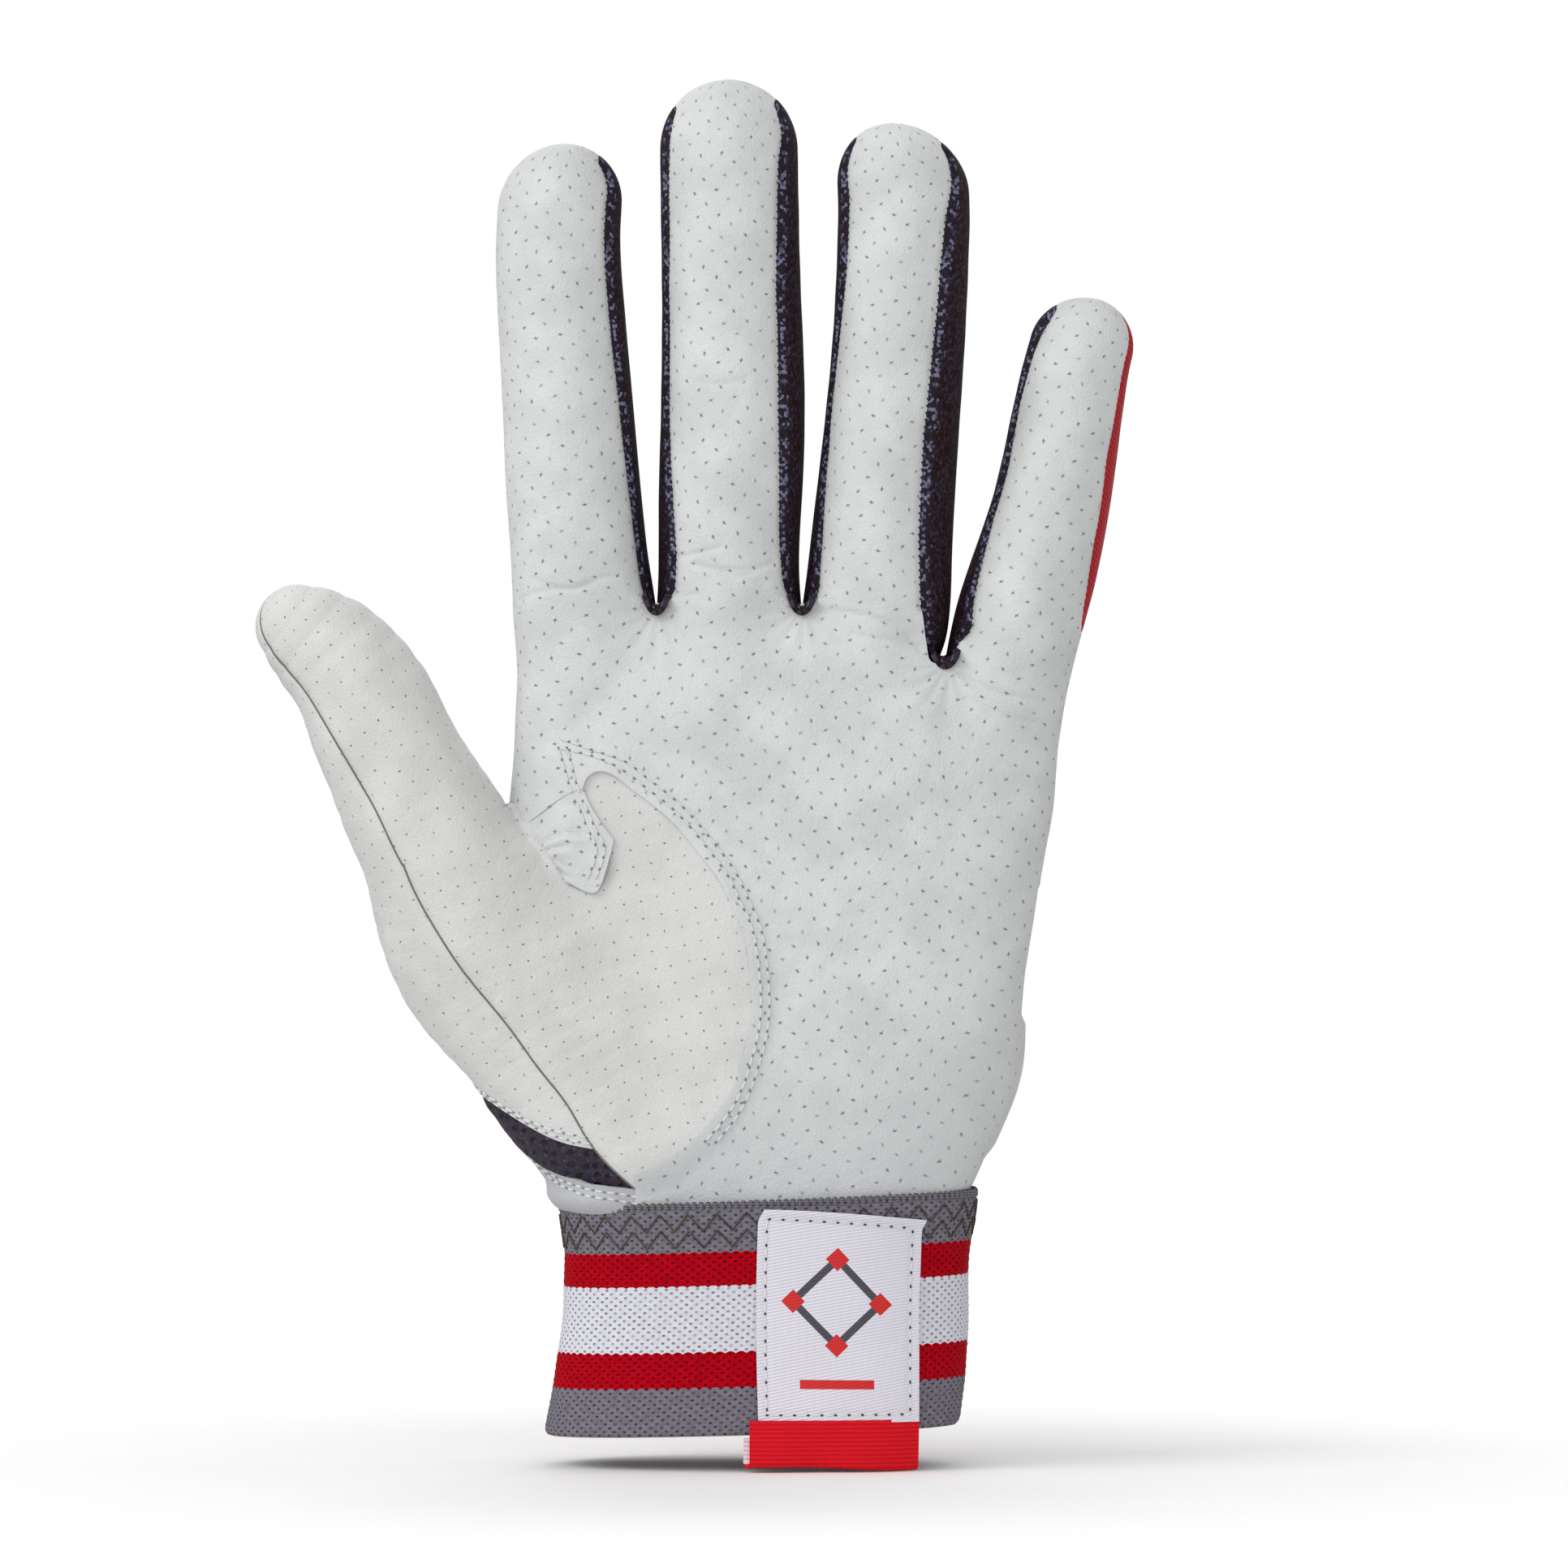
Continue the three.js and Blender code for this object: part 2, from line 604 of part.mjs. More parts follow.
function palmPanel() {
  const seam = evenShares(THENAR_STEPS).map((share) => {
    const [x, z] = thenarSeam(lerp(THENAR_FOOT_SHARE, 1, share));
    return [x, z + LAYER_GAP * share ** 3];
  });
  const top = knuckleLine(SIDE_WRAP, SIDE_WRAP, (x) => x);
  const leftLine = [
    [seamFoot[0] + 0.6, HEM],
    [seamFoot[0] + 0.6, CUFF_HEIGHT],
    ...seam,
    [webPoint[0], webPoint[1] + LAYER_GAP],
    ...indexSideSeam((z) => leftWrap(SIDE_WRAP, z)),
    top[0],
  ];
  const rightTop = top[top.length - 1][1];
  const webShare = lineLength(leftLine, leftLine.length - 6) / lineLength(leftLine, leftLine.length - 1);
  const rightRows = [[0, HEM], [webShare, rightTop - 3], [1, rightTop]];
  const rightAt = (v) => {
    const [, z] = readTable(rightRows, v);
    return [rightWrap(SIDE_WRAP, z), z];
  };
  const edges = {
    low: (u) => [lerp(leftLine[0][0], rightAt(0)[0], u), HEM],
    high: (u) => alongLine(top, u),
    left: (v) => alongLine(leftLine, v),
    right: rightAt,
  };
  return skinPanel("palm_panel", edges, cornerShares(top, 4), cornerShares(leftLine, 2), whiteLeather);
}

function thenarPanel() {
  const outer = [
    [seamFoot[0] - 1.2, seamFoot[1] + 1.2],
    [MESH_FRONT.x, MESH_FRONT.z],
    [OUTER_SEAM_MIDDLE.x, OUTER_SEAM_MIDDLE.z],
    [frontAt(hingeLeft[0], hingeLeft[1]), hingeLeft[1]],
  ];
  const top = [outer[3], webPoint, thenarTop];
  const startShare = lerp(THENAR_FOOT_SHARE, 1, 1 / THENAR_STEPS);
  const lowRight = thenarSeam(startShare);
  const edges = {
    low: (u) => [lerp(outer[0][0], lowRight[0], u), lerp(outer[0][1], lowRight[1], u)],
    high: (u) => alongLine(top, u),
    left: (v) => alongLine(outer, v),
    right: (v) => thenarSeam(lerp(startShare, 1, v)),
  };
  return skinPanel("thenar_panel", edges, cornerShares(top, 5), THENAR_STEPS - 1, whiteLeather);
}

// Flap of leather from the crotch of the thumb, sewn flat over the corner of the thenar panel
function webGusset() {
  const edges = {
    low: (u) => alongLine(FLAP_LOW, u),
    high: (u) => alongLine(FLAP_HIGH, u),
    left: (v) => alongLine([FLAP_LOW[0], FLAP_HIGH[0]], v),
    right: (v) => alongLine(FLAP_SIDE, v),
  };
  const height = LAYER_GAP + LEATHER_THICKNESS;
  return skinPanel("thumb_web_gusset", edges, 6, 4, whiteLeather, LEATHER_THICKNESS, height);
}

// Strip outside the thumb's outer seam, round the edge of the hand to a seam on the back
function thumbBaseBack() {
  const backLow = backFromLeft(BACK_SEAM_LOW_X, MESH_TOP);
  const gap = HINGE_GAP / 2;
  const backHighX = THUMB_CROTCH.x;
  const edgeZ = thumbPlane(THUMB_EDGE_X) - gap;
  const top = [
    [frontAt(hingeLeft[0], hingeLeft[1]), hingeLeft[1]],
    [leftWrap(90, edgeZ), edgeZ - 0.6],
    [backFromLeft(hingeLeft[0], hingeLeft[1]), hingeLeft[1] - 0.6],
    [backFromLeft(backHighX, THUMB_CROTCH.z - gap), THUMB_CROTCH.z - gap],
  ];
  const low = [
    [MESH_FRONT.x, MESH_FRONT.z],
    [leftWrap(90, MESH_EDGE_HEIGHT), MESH_EDGE_HEIGHT],
    [backLow, MESH_TOP],
  ];
  const edges = {
    low: (u) => alongLine(low, u),
    high: (u) => alongLine(top, u),
    left: (v) => alongLine([low[0], [OUTER_SEAM_MIDDLE.x, OUTER_SEAM_MIDDLE.z], top[0]], v),
    right: (v) => {
      const z = lerp(MESH_TOP, THUMB_CROTCH.z - gap, v);
      return [backFromLeft(lerp(BACK_SEAM_LOW_X, backHighX, v), z), z];
    },
  };
  return skinPanel("thumb_base_back", edges, 12, 6, whiteLeather);
}

function backPanel() {
  const wrapBack = (z) => backFromRight(edgesAt(z).left, z) + SIDE_ROUND * radians(180 - SIDE_WRAP);
  const top = knuckleLine(SIDE_WRAP, SIDE_WRAP, (x, z) => backFromRight(x, z));
  top[0] = [wrapBack(top[0][1]), top[0][1]];
  top.reverse();
  const rightAt = (v) => {
    const z = lerp(MESH_TOP, top[0][1], v);
    return [rightWrap(SIDE_WRAP, z), z];
  };
  const farLine = evenShares(4).map((share) => {
    const z = lerp(MESH_TOP, THUMB_CROTCH.z, share);
    return [backFromRight(lerp(BACK_SEAM_LOW_X, THUMB_CROTCH.x, share), z), z];
  });
  farLine.push(...indexSideSeam(wrapBack), top[top.length - 1]);
  const edges = {
    low: (u) => [lerp(rightAt(0)[0], farLine[0][0], u), MESH_TOP],
    high: (u) => alongLine(top, u),
    left: rightAt,
    right: (v) => alongLine(farLine, v),
  };
  return skinPanel("back_panel", edges, cornerShares(top, 4), 9, redKnit, KNIT_THICKNESS);
}

// Mesh and leather band round the thumb side, from the front seam to the slit on the back
function thumbSideStrip(name, low, high, rows, material) {
  const [lowFar, highFar] = [low[low.length - 1], high[high.length - 1]];
  const edges = {
    low: (u) => alongLine(low, u),
    high: (u) => alongLine(high, u),
    left: (v) => alongLine([low[0], high[0]], v),
    right: (v) => {
      const z = lerp(lowFar[1], highFar[1], v);
      return [backFromLeft(-SLIT_HALF_WIDTH, z), z];
    },
  };
  return skinPanel(name, edges, 18, rows, material);
}

// Mesh and leather band round the little-finger side, from the palm's edge to the slit
function littleSideStrip(name, lowZ, highZ, material, rows) {
  const edges = {
    low: (u) => [lerp(rightWrap(SIDE_WRAP, lowZ), backFromRight(SLIT_HALF_WIDTH, lowZ), u), lowZ],
    high: (u) => [lerp(rightWrap(SIDE_WRAP, highZ), backFromRight(SLIT_HALF_WIDTH, highZ), u), highZ],
    left: (v) => [rightWrap(SIDE_WRAP, lerp(lowZ, highZ, v)), lerp(lowZ, highZ, v)],
    right: (v) => [backFromRight(SLIT_HALF_WIDTH, lerp(lowZ, highZ, v)), lerp(lowZ, highZ, v)],
  };
  return skinPanel(name, edges, 10, rows, material);
}

function wristStrips() {
  const slitAt = (z) => [backFromLeft(-SLIT_HALF_WIDTH, z), z];
  const frontEnd = [seamFoot[0] - 0.4, seamFoot[1] - 0.6];
  const bandTop = [
    frontEnd,
    [BAND_FRONT.x, BAND_FRONT.z],
    [leftWrap(90, BAND_EDGE_HEIGHT), BAND_EDGE_HEIGHT],
    slitAt(BAND_TOP),
  ];
  const meshFront = [MESH_FRONT.x, MESH_FRONT.z];
  const meshTop = [
    meshFront,
    [leftWrap(90, MESH_EDGE_HEIGHT), MESH_EDGE_HEIGHT],
    [backFromLeft(BACK_SEAM_LOW_X, MESH_TOP), MESH_TOP],
    slitAt(MESH_TOP),
  ];
  const hemFront = [seamFoot[0] + 0.6, HEM];
  const hem = [hemFront, [leftWrap(90, HEM), HEM], slitAt(HEM)];
  return [
    thumbSideStrip("wrist_mesh_thumb_side", bandTop, meshTop, 2, darkMesh),
    thumbSideStrip("wrist_band_thumb_side", hem, bandTop, 4, whiteLeather),
    littleSideStrip("wrist_mesh_little_side", BAND_TOP, MESH_TOP, darkMesh, 2),
    littleSideStrip("wrist_band_little_side", HEM, BAND_TOP, whiteLeather, 3),
  ];
}

// Saddle at the bottom of the gap between two fingers
function fingerWeb(left, right, halfDepth) {
  const x = (left.base.x + left.baseWidth / 2 + right.base.x - right.baseWidth / 2) / 2;
  const z = Math.min(left.base.z, right.base.z);
  const columns = 4;
  const rows = 6;
  const outer = [];
  const inner = [];
  for (let j = 0; j <= rows; j += 1) {
    const y = lerp(-halfDepth, halfDepth, j / rows);
    const line = [];
    for (let i = 0; i <= columns; i += 1) {
      const across = lerp(-WEB_HALF_WIDTH, WEB_HALF_WIDTH, i / columns);
      line.push(vector(x + across, y, z - WEB_SINK + across * across / 8));
    }
    outer.push(line);
    inner.push(line.map((p) => p.clone().add(vector(0, 0, -KNIT_THICKNESS))));
  }
  return named(`finger_web_${left.name}_${right.name}`, sheetSolid(outer, inner, false), sideKnit);
}

// Cuff: a ring of elastic webbing lapped over the hem of the leather, flared a little at its mouth
function cuffSpread(z) {
  return LAYER_GAP + CUFF_THICKNESS + CUFF_FLARE * (1 - smooth(z / (CUFF_HEIGHT * 0.6)));
}

function cuffPoint(q, z, over) {
  const ray = skinRay(q, z);
  const distance = reach(ray.origin, ray.direction, palmField) + cuffSpread(z) + over;
  return ray.direction.clone().multiplyScalar(distance).add(ray.origin);
}

function elasticCuff() {
  const outer = [];
  const inner = [];
  for (const share of evenShares(4)) {
    const z = CUFF_HEIGHT * share;
    const { left, right } = edgesAt(z);
    const arc = Math.PI * SIDE_ROUND;
    const stretches = [[right - left, 9], [arc, 14], [right - left, 9], [arc, 14]];
    const places = [];
    let q = left;
    for (const [length, steps] of stretches) {
      for (let k = 0; k < steps; k += 1) {
        places.push(q + length * k / steps);
      }
      q += length;
    }
    outer.push(places.map((place) => cuffPoint(place, z, 0)));
    inner.push(places.map((place) => cuffPoint(place, z, -CUFF_THICKNESS)));
  }
  return named("elastic_cuff", sheetSolid(outer, inner, true), cuffWebbing);
}

function wovenLabel() {
  const columns = 10;
  const rows = 4;
  const at = (over) => Array.from({ length: rows + 1 }, (_, j) => Array.from({ length: columns + 1 }, (__, i) =>
    cuffPoint(lerp(LABEL_LEFT, LABEL_RIGHT, i / columns), lerp(LABEL_LOW, LABEL_HIGH, j / rows), over)));
  return named("woven_label", sheetSolid(at(LAYER_GAP + LABEL_THICKNESS), at(LAYER_GAP), false), labelSatin);
}

// Pull loop: a ribbon folded under the label's low edge, front leg, fold and shorter back leg in one strip
function pullLoop() {
  const columns = 10;
  const legTop = LABEL_LOW - SEAM_GAP;
  const foldRadius = LOOP_ROOM / 2 + LOOP_THICKNESS;
  const foldZ = -LOOP_DROP + foldRadius;
  const front = LAYER_GAP + LABEL_THICKNESS;
  const middle = front - foldRadius;
  const path = [[0, legTop], [0, foldZ]];
  for (let k = 1; k <= 6; k += 1) {
    const turn = Math.PI * k / 6;
    path.push([turn, foldZ]);
  }
  path.push([Math.PI, -1]);
  const pointOn = (x, [turn, z], radius) => cuffPoint(x, 0, middle + radius * Math.cos(turn))
    .setZ(z - radius * Math.sin(turn));
  const strip = (radius) => path.map((step) => Array.from({ length: columns + 1 }, (_, i) =>
    pointOn(lerp(LABEL_LEFT, LABEL_RIGHT, i / columns), step, radius)));
  const ribbon = sheetSolid(strip(foldRadius), strip(foldRadius - LOOP_THICKNESS), false);
  return named("pull_loop", ribbon, redRibbon);
}

// Closure: strap over the slit on the back, with its hook tape, and the loop tape sewn on the glove
function tabLow(u) {
  return TAB_LOW + TAB_ROOT_RISE * (1 - smooth(u / 0.3));
}

function tabHigh(u) {
  return TAB_HIGH - TAB_ROOT_FALL * (1 - smooth(u / 0.55));
}

function tabQ(u, z) {
  return lerp(backFromRight(TAB_ROOT_X, z), rightWrap(TAB_WRAP, z), u);
}

function closureStack() {
  const girth = tabQ(0, TAB_LOW) - tabQ(1, TAB_LOW);
  const tapeShare = TAPE_LENGTH / girth;
  const endShare = 1 - TAPE_MARGIN / girth;
  const loopHeight = LAYER_GAP + TAPE_THICKNESS;
  const hookHeight = loopHeight + LAYER_GAP + TAPE_THICKNESS;
  const tabRise = (u) => LAYER_GAP + (hookHeight * smooth((u - 0.12) / 0.35));
  const grid = (from, to, inset, columns, rows) => Array.from({ length: rows + 1 }, (_, j) =>
    Array.from({ length: columns + 1 }, (__, i) => {
      const u = lerp(from, to, i / columns);
      const corner = from === 0 && to === 1 ? TAB_CORNER * smooth((u - 0.93) / 0.07) : 0;
      return [u, lerp(tabLow(u) + inset + corner, tabHigh(u) - inset - corner, j / rows)];
    }));
  const rayAt = (u, z) => skinRay(tabQ(u, z), z);
  const tape = (name, height, inset) => {
    const cells = grid(endShare - tapeShare, endShare, inset, 8, 4);
    return named(name, raySolid(cells, rayAt, handField, height, TAPE_THICKNESS), tapeNylon);
  };
  const group = new THREE.Group();
  group.name = "closure";
  const strapTop = (u) => tabRise(u) + TAB_THICKNESS;
  const strap = raySolid(grid(0, 1, 0, 16, 5), rayAt, handField, strapTop, TAB_THICKNESS);
  group.add(named("closure_tab", strap, whiteLeather));
  group.add(tape("hook_patch", hookHeight, TAPE_MARGIN));
  group.add(tape("loop_patch", loopHeight, TAPE_MARGIN - 1));
  return group;
}

const glove = new THREE.Group();
glove.name = "batting_glove";
const hand = new THREE.Group();
hand.name = "hand";
hand.add(palmPanel(), thenarPanel(), webGusset(), thumbBaseBack(), backPanel(), ...wristStrips());
for (let i = 1; i < FINGERS.length; i += 1) {
  hand.add(fingerWeb(FINGERS[i - 1], FINGERS[i], WEB_HALF_DEPTHS[i - 1]));
}
hand.add(elasticCuff(), wovenLabel());
glove.add(hand, ...FINGERS.map(fingerGroup), thumbGroup(), closureStack(), pullLoop());

export default glove;
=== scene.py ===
"""Looks of a left-hand batting glove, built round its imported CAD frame.

Lengths are millimetres until a mesh is made. The glove stands on its wrist opening, fingers up (+Z), palm
towards -Y and thumb towards -X. Most panels are cut from one hand form: rays from inside the hand meet the
form, and a panel is a grid of such places given a thickness.
"""

import json
import math
from functools import partial

import bpy
import numpy as np
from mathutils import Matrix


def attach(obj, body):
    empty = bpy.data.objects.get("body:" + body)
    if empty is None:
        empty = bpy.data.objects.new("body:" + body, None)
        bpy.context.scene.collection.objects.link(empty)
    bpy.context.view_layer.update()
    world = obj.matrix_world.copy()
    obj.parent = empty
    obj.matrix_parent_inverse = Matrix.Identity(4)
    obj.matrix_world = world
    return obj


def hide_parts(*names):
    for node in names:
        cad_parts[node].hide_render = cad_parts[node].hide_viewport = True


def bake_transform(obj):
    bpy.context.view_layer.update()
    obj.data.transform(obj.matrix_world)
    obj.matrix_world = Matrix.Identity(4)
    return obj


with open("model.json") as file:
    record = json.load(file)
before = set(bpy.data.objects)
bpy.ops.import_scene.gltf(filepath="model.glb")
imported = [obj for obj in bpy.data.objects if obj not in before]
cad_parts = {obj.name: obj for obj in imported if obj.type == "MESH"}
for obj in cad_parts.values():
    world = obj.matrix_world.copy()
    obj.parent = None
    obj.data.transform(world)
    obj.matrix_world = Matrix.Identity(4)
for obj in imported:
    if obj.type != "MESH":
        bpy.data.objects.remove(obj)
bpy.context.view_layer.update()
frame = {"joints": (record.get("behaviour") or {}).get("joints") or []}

bl_info = {
    "name": "Batting glove",
    "version": (1, 0, 0),
    "blender": (4, 5, 0),
    "location": "View3D > Sidebar > Glove",
    "description": "Builds the visible panels, seams, cuff and strap of a batting glove round its CAD frame",
    "category": "Add Mesh",
}

MM = 0.001
JOINTS = {joint["name"]: joint for joint in frame["joints"]}
SEED = 7
RAY_LENGTH = 42.0
RAY_HALVINGS = 19

# Fingers: length, radius of the tip, half width and sideways shift along the finger, half depth at root and
# tip, how far inside the outline the front seam runs on each side (negative: it runs behind the edge), and
# where the base piece ends
FINGERS = {
    "index": {
        "length": 75.7,
        "tip": 10.2,
        "width": ((-14, 11.0), (0, 11.63), (7, 11.2), (15, 11.0), (31, 10.67), (47, 10.34), (60, 10.15)),
        "shift": (
            (-14, 0.4), (0, 0.43), (7, 0.23), (31, 0.08), (50, 0.12), (59, 0.36), (66, 1.13), (75.7, 1.9),
        ),
        "depth": (11.5, 8.8),
        "right": (
            (-2, 0.5), (0, 0.9), (3, 1.35), (14, 1.35), (26, 1.7), (50, 2.2), (65, 2.1), (72, 1.1),
            (75, 0.06),
        ),
        "left": ((-2, -1.27), (0, -1.27), (12, -1.05), (75, -1.05)),
        "split": 22,
    },
    "middle": {
        "length": 86.1,
        "tip": 11.2,
        "width": ((-12, 11.8), (0, 11.8), (4, 11.55), (20, 11.7), (50, 11.35), (74.8, 11.2)),
        "shift": ((-12, 0.3), (0, 0.3), (6, 0.25), (30, 0.88), (60, 0.5), (86.1, 0.2)),
        "depth": (11.5, 9.0),
        "right": (
            (-2, 0.6), (0, 1.2), (1.5, 1.75), (4, 2.3), (17, 3.3), (32, 4.0), (50, 3.7), (73, 2.8), (80, 1.6),
            (84.6, 0.06),
        ),
        "left": (
            (-2, 0.6), (0, 1.3), (1, 1.9), (2, 2.25), (3, 2.5), (9, 2.6), (17, 1.95), (32, 1.05), (50, 0.8),
            (66, 0.95), (78, 1.1), (83.6, 0.06),
        ),
        "split": 22,
    },
    "ring": {
        "length": 79.1,
        "tip": 10.8,
        "width": ((-12, 12.0), (0, 12.0), (8, 11.65), (24, 11.1), (40, 10.8), (68, 10.75)),
        "shift": (
            (-12, -1.6), (-7.5, -1.0), (-5, -0.35), (-2, 0.15), (0, 0.3), (10, 0.5), (35, 1.0), (58, 0.85),
            (70, 0), (79.1, -1.5),
        ),
        "depth": (11.5, 8.8),
        "right": (
            (-9, 0.8), (-7.6, 1.6), (-5.6, 2.8), (-4, 3.5), (-1.6, 4.2), (0, 4.6), (4, 4.9), (12, 5.4),
            (29, 5.5), (43, 4.9), (55, 4.4), (64, 3.7), (72, 1.9), (78.2, 0.06),
        ),
        "left": (
            (-2, 0.6), (0, 1.4), (1.5, 1.9), (3, 1.9), (6, 1.6), (17, 1.05), (30, 0.55), (44, 0.65),
            (55, 1.2), (66, 1.45), (73, 0.9), (78.2, 0.06),
        ),
        "split": 22,
    },
    "little": {
        "length": 60.6,
        "tip": 8.4,
        "width": ((-14, 9.8), (0, 10.3), (11, 10.4), (24, 9.65), (40, 8.95), (52, 8.4)),
        "shift": (
            (-12, -0.8), (0, -0.75), (6, -0.7), (12, -0.35), (24, 0.3), (34, 0.1), (50, -0.5), (60.6, 0),
        ),
        "depth": (10.5, 7.8),
        "right": (
            (-2, -1.22), (0, -1.22), (7, 0.02), (11.5, 0.66), (21, 1.2), (35, 1.3), (43, 0.9), (52, 0.66),
            (59.6, 0.06),
        ),
        "left": (
            (-3, 0.8), (0, 1.6), (1.8, 2.25), (4, 2.8), (7.5, 2.1), (10, 1.85), (22, 0.65), (31, 0.8),
            (41, 0.4), (50, 0.8), (55, 1.3), (59.8, 0.06),
        ),
        "split": 17,
    },
}
BACK_SEAM_ANGLE = math.radians(35)
# Where each side strip starts along its finger
STRIP_LOW = {
    "right": {"index": -1.8, "middle": -1.8, "ring": -9.0},
    "left": {"middle": -1.8, "ring": -1.8, "little": -3.2},
}
# Gaps between the fingers, by the finger on their thumb side: places along that finger where the panels' edge
# leaves it, and the bottom of the edge as x and z
NOTCHES = {
    "index": ((-0.7,), (-17.0, 134.2)),
    "middle": ((-0.6,), (6.4, 134.2)),
    "ring": ((-2, -4, -6, -8), (29.6, 124.5)),
}
# Where the grids of the finger panels start, below the knuckle
PANEL_LOW = -1.2
WEB_BOTTOMS = ((-17.2, 134.1), (6.3, 134.1), (29.5, 125.4))
WEB_POINTS = ((-17.3, 133.3), (6.3, 133.3), (29.7, 124.0))
WEB_HALF_SIZE = (1.85, 10.2)
ROOT_DEPTH = 4

# Palm: height, thumb-side edge, little-finger-side edge, depth to the front, depth to the back
PALM_ROWS = (
    (0, -32.5, 29.5, 15.5, 15.5),
    (24, -30.5, 31.3, 15.5, 15.5),
    (34, -30.5, 31.5, 15.5, 15.5),
    (40, -31.0, 34.2, 15.8, 15.5),
    (45, -33.0, 36.4, 16.0, 15.4),
    (57, -34.5, 41.2, 15.6, 14.8),
    (70, -36.0, 42.2, 15.0, 14.0),
    (84, -38.5, 44.2, 14.2, 13.3),
    (92, -40.2, 45.4, 13.7, 12.9),
    (100, -41.0, 47.0, 13.2, 12.5),
    (106, -40.7, 47.5, 12.8, 12.2),
    (112, -40.2, 47.7, 12.4, 11.8),
    (119, -39.7, 47.6, 11.8, 11.2),
    (127, -38.0, 46.6, 10.6, 10.0),
    (134, -37.0, 45.6, 8.2, 7.6),
)
PALM_POWER = 3
PALM_TOP = 134.2
LITTLE_FALL = 8.6
LITTLE_SLOPE = 0.2235
ROOT_FILLET = 2.5
SIDE_ROUND = 9
SIDE_WRAP = math.radians(115)
BACK_WRAP = math.radians(76)
# Ends of the knuckle line: x on the index side from outside in, and on the little-finger side from inside out
KNUCKLE_END_INDEX = (-40.4, -36.0)
KNUCKLE_END_LITTLE = (46.5, 50.3)
KNUCKLE_END_HEIGHT = 122.0

# Thumb limb from the tip to the wrist: x, z, y, half width, depth to the front, depth to the back
THUMB_ROWS = (
    (-75.3, 130.3, -6.5, 6.8, 7.2, 6.5),
    (-71.2, 127.2, -6.5, 9.0, 9.0, 8.5),
    (-67.6, 123.6, -6.5, 9.8, 9.8, 9.0),
    (-64.8, 119.6, -6.3, 10.5, 10.4, 9.3),
    (-62.3, 114.0, -6.0, 11.1, 11.0, 9.6),
    (-59.6, 108.3, -5.7, 11.3, 11.6, 9.8),
    (-57.2, 103.2, -5.4, 12.0, 12.2, 10.0),
    (-53.5, 96.5, -5.0, 12.7, 13.0, 10.5),
    (-49.5, 88.0, -4.2, 14.2, 13.8, 11.0),
    (-43.8, 78.8, -3.1, 17.0, 14.6, 11.5),
    (-36.5, 67.0, -1.6, 15.0, 15.2, 12.0),
    (-29.0, 55.0, -0.5, 13.5, 14.8, 13.0),
    (-23.0, 46.0, 0.0, 11.2, 14.0, 13.0),
)
THUMB_TIP_CENTRE = 38
THUMB_TIP_REACH = 9.5
THUMB_DEPTH = -5.0
THUMB_SEAM_OFFSET = 5.2
THUMB_SEAM_OFFSET_LOW = 6.1
THUMB_WEB_ANGLE = math.radians(-30)
THUMB_MAP_RADIUS = 11
THUMB_MAP_SHIFT = 40

# Valley between palm and thumb: its width, and how much narrower it is near the crotch. A form fades out by
# sinking to a depth. Each change has the height where it starts and the height over which it eases in
THUMB_VALLEY = 9
VALLEY_LOSS = 7.5
VALLEY_NARROWS = (80, 13)
FADE_DEPTH = 16
FRONT_FADE = (82, 10)
BACK_FADE = (92, 10)
STRIP_SINK = 14
STRIP_FADE = (88.5, 4)

# Outlines on the front, as x and z
OUTER_SEAM = (
    (-57.9, 91.8), (-57.0, 89.5), (-52.4, 80.9), (-46.7, 72.7), (-41.4, 66.3), (-36.2, 59.1), (-31.4, 52.9),
    (-27.9, 47.0), (-19.8, 38.9),
)
THENAR_EDGE = (
    (-20.5, 42.2), (-14.4, 45.0), (-9.8, 49.0), (-5.7, 54.4), (-3.0, 61.8), (-2.0, 66.3), (-2.0, 73.4),
    (-2.6, 78.4), (-3.3, 81.4), (-5.0, 85.1), (-6.7, 88.8), (-9.2, 92.3), (-11.5, 95.2), (-14.1, 98.2),
    (-17.8, 101.5), (-21.5, 104.3), (-25.2, 106.7), (-26.5, 106.8), (-28.0, 106.0), (-28.9, 104.0),
)
LOBE_LEFT = ((-28.9, 104.0), (-28.0, 101.9), (-26.5, 99.3), (-25.1, 97.3), (-23.9, 95.8))
TONGUE_EDGE = (
    (-23.9, 95.8), (-24.5, 93.2), (-25.2, 90.8), (-26.0, 88.4), (-26.8, 87.3), (-28.9, 87.5), (-31.3, 88.7),
)
THUMB_PANEL_TOP = ((-57.9, 91.77), (-41.2, 101.8))
THUMB_PANEL_UNDER = (
    (-39.6, 101.4), (-37.0, 98.2), (-34.0, 95.5), (-32.2, 97.5), (-31.5, 102.0), (-30.6, 107.0),
    (-27.5, 109.4), (-24.0, 109.2), (-19.0, 106.6), (-13.0, 101.6), (-7.0, 95.0), (-2.0, 87.0), (0.8, 78.0),
    (1.2, 69.0), (0.0, 60.0), (-3.4, 52.0), (-9.0, 45.6), (-15.5, 41.0), (-19.0, 38.6),
)
TONGUE_TOP = ((-38.4, 98.2), (-34.3, 101.2), (-32.3, 102.7), (-28.9, 104.0))
TONGUE_LEFT = ((-31.9, 88.8), (-33.8, 90.4), (-36.2, 93.2), (-38.0, 95.4), (-39.6, 98.0))
THUMB_FOLD = ((-41.2, 101.8), (-38.4, 98.2), (-36.3, 95.0), (-35.0, 93.7), (-33.3, 90.8), (-31.9, 88.8))
MESH_TOP_FRONT = ((-60, 62.0), (-46.2, 54.5), (-42.9, 52.5), (-31.7, 46.9), (-26.4, 45.9), (-20, 44.0))
PALM_HEM = (-20.5, 31.0)
PALM_CROTCH = ((-39.6, 97.4), (-43.5, 98.4), (-47.0, 100.4))
PALM_SIDE_HEIGHTS = (105.0, 110.0, 116.0, 122.0, 128.0)

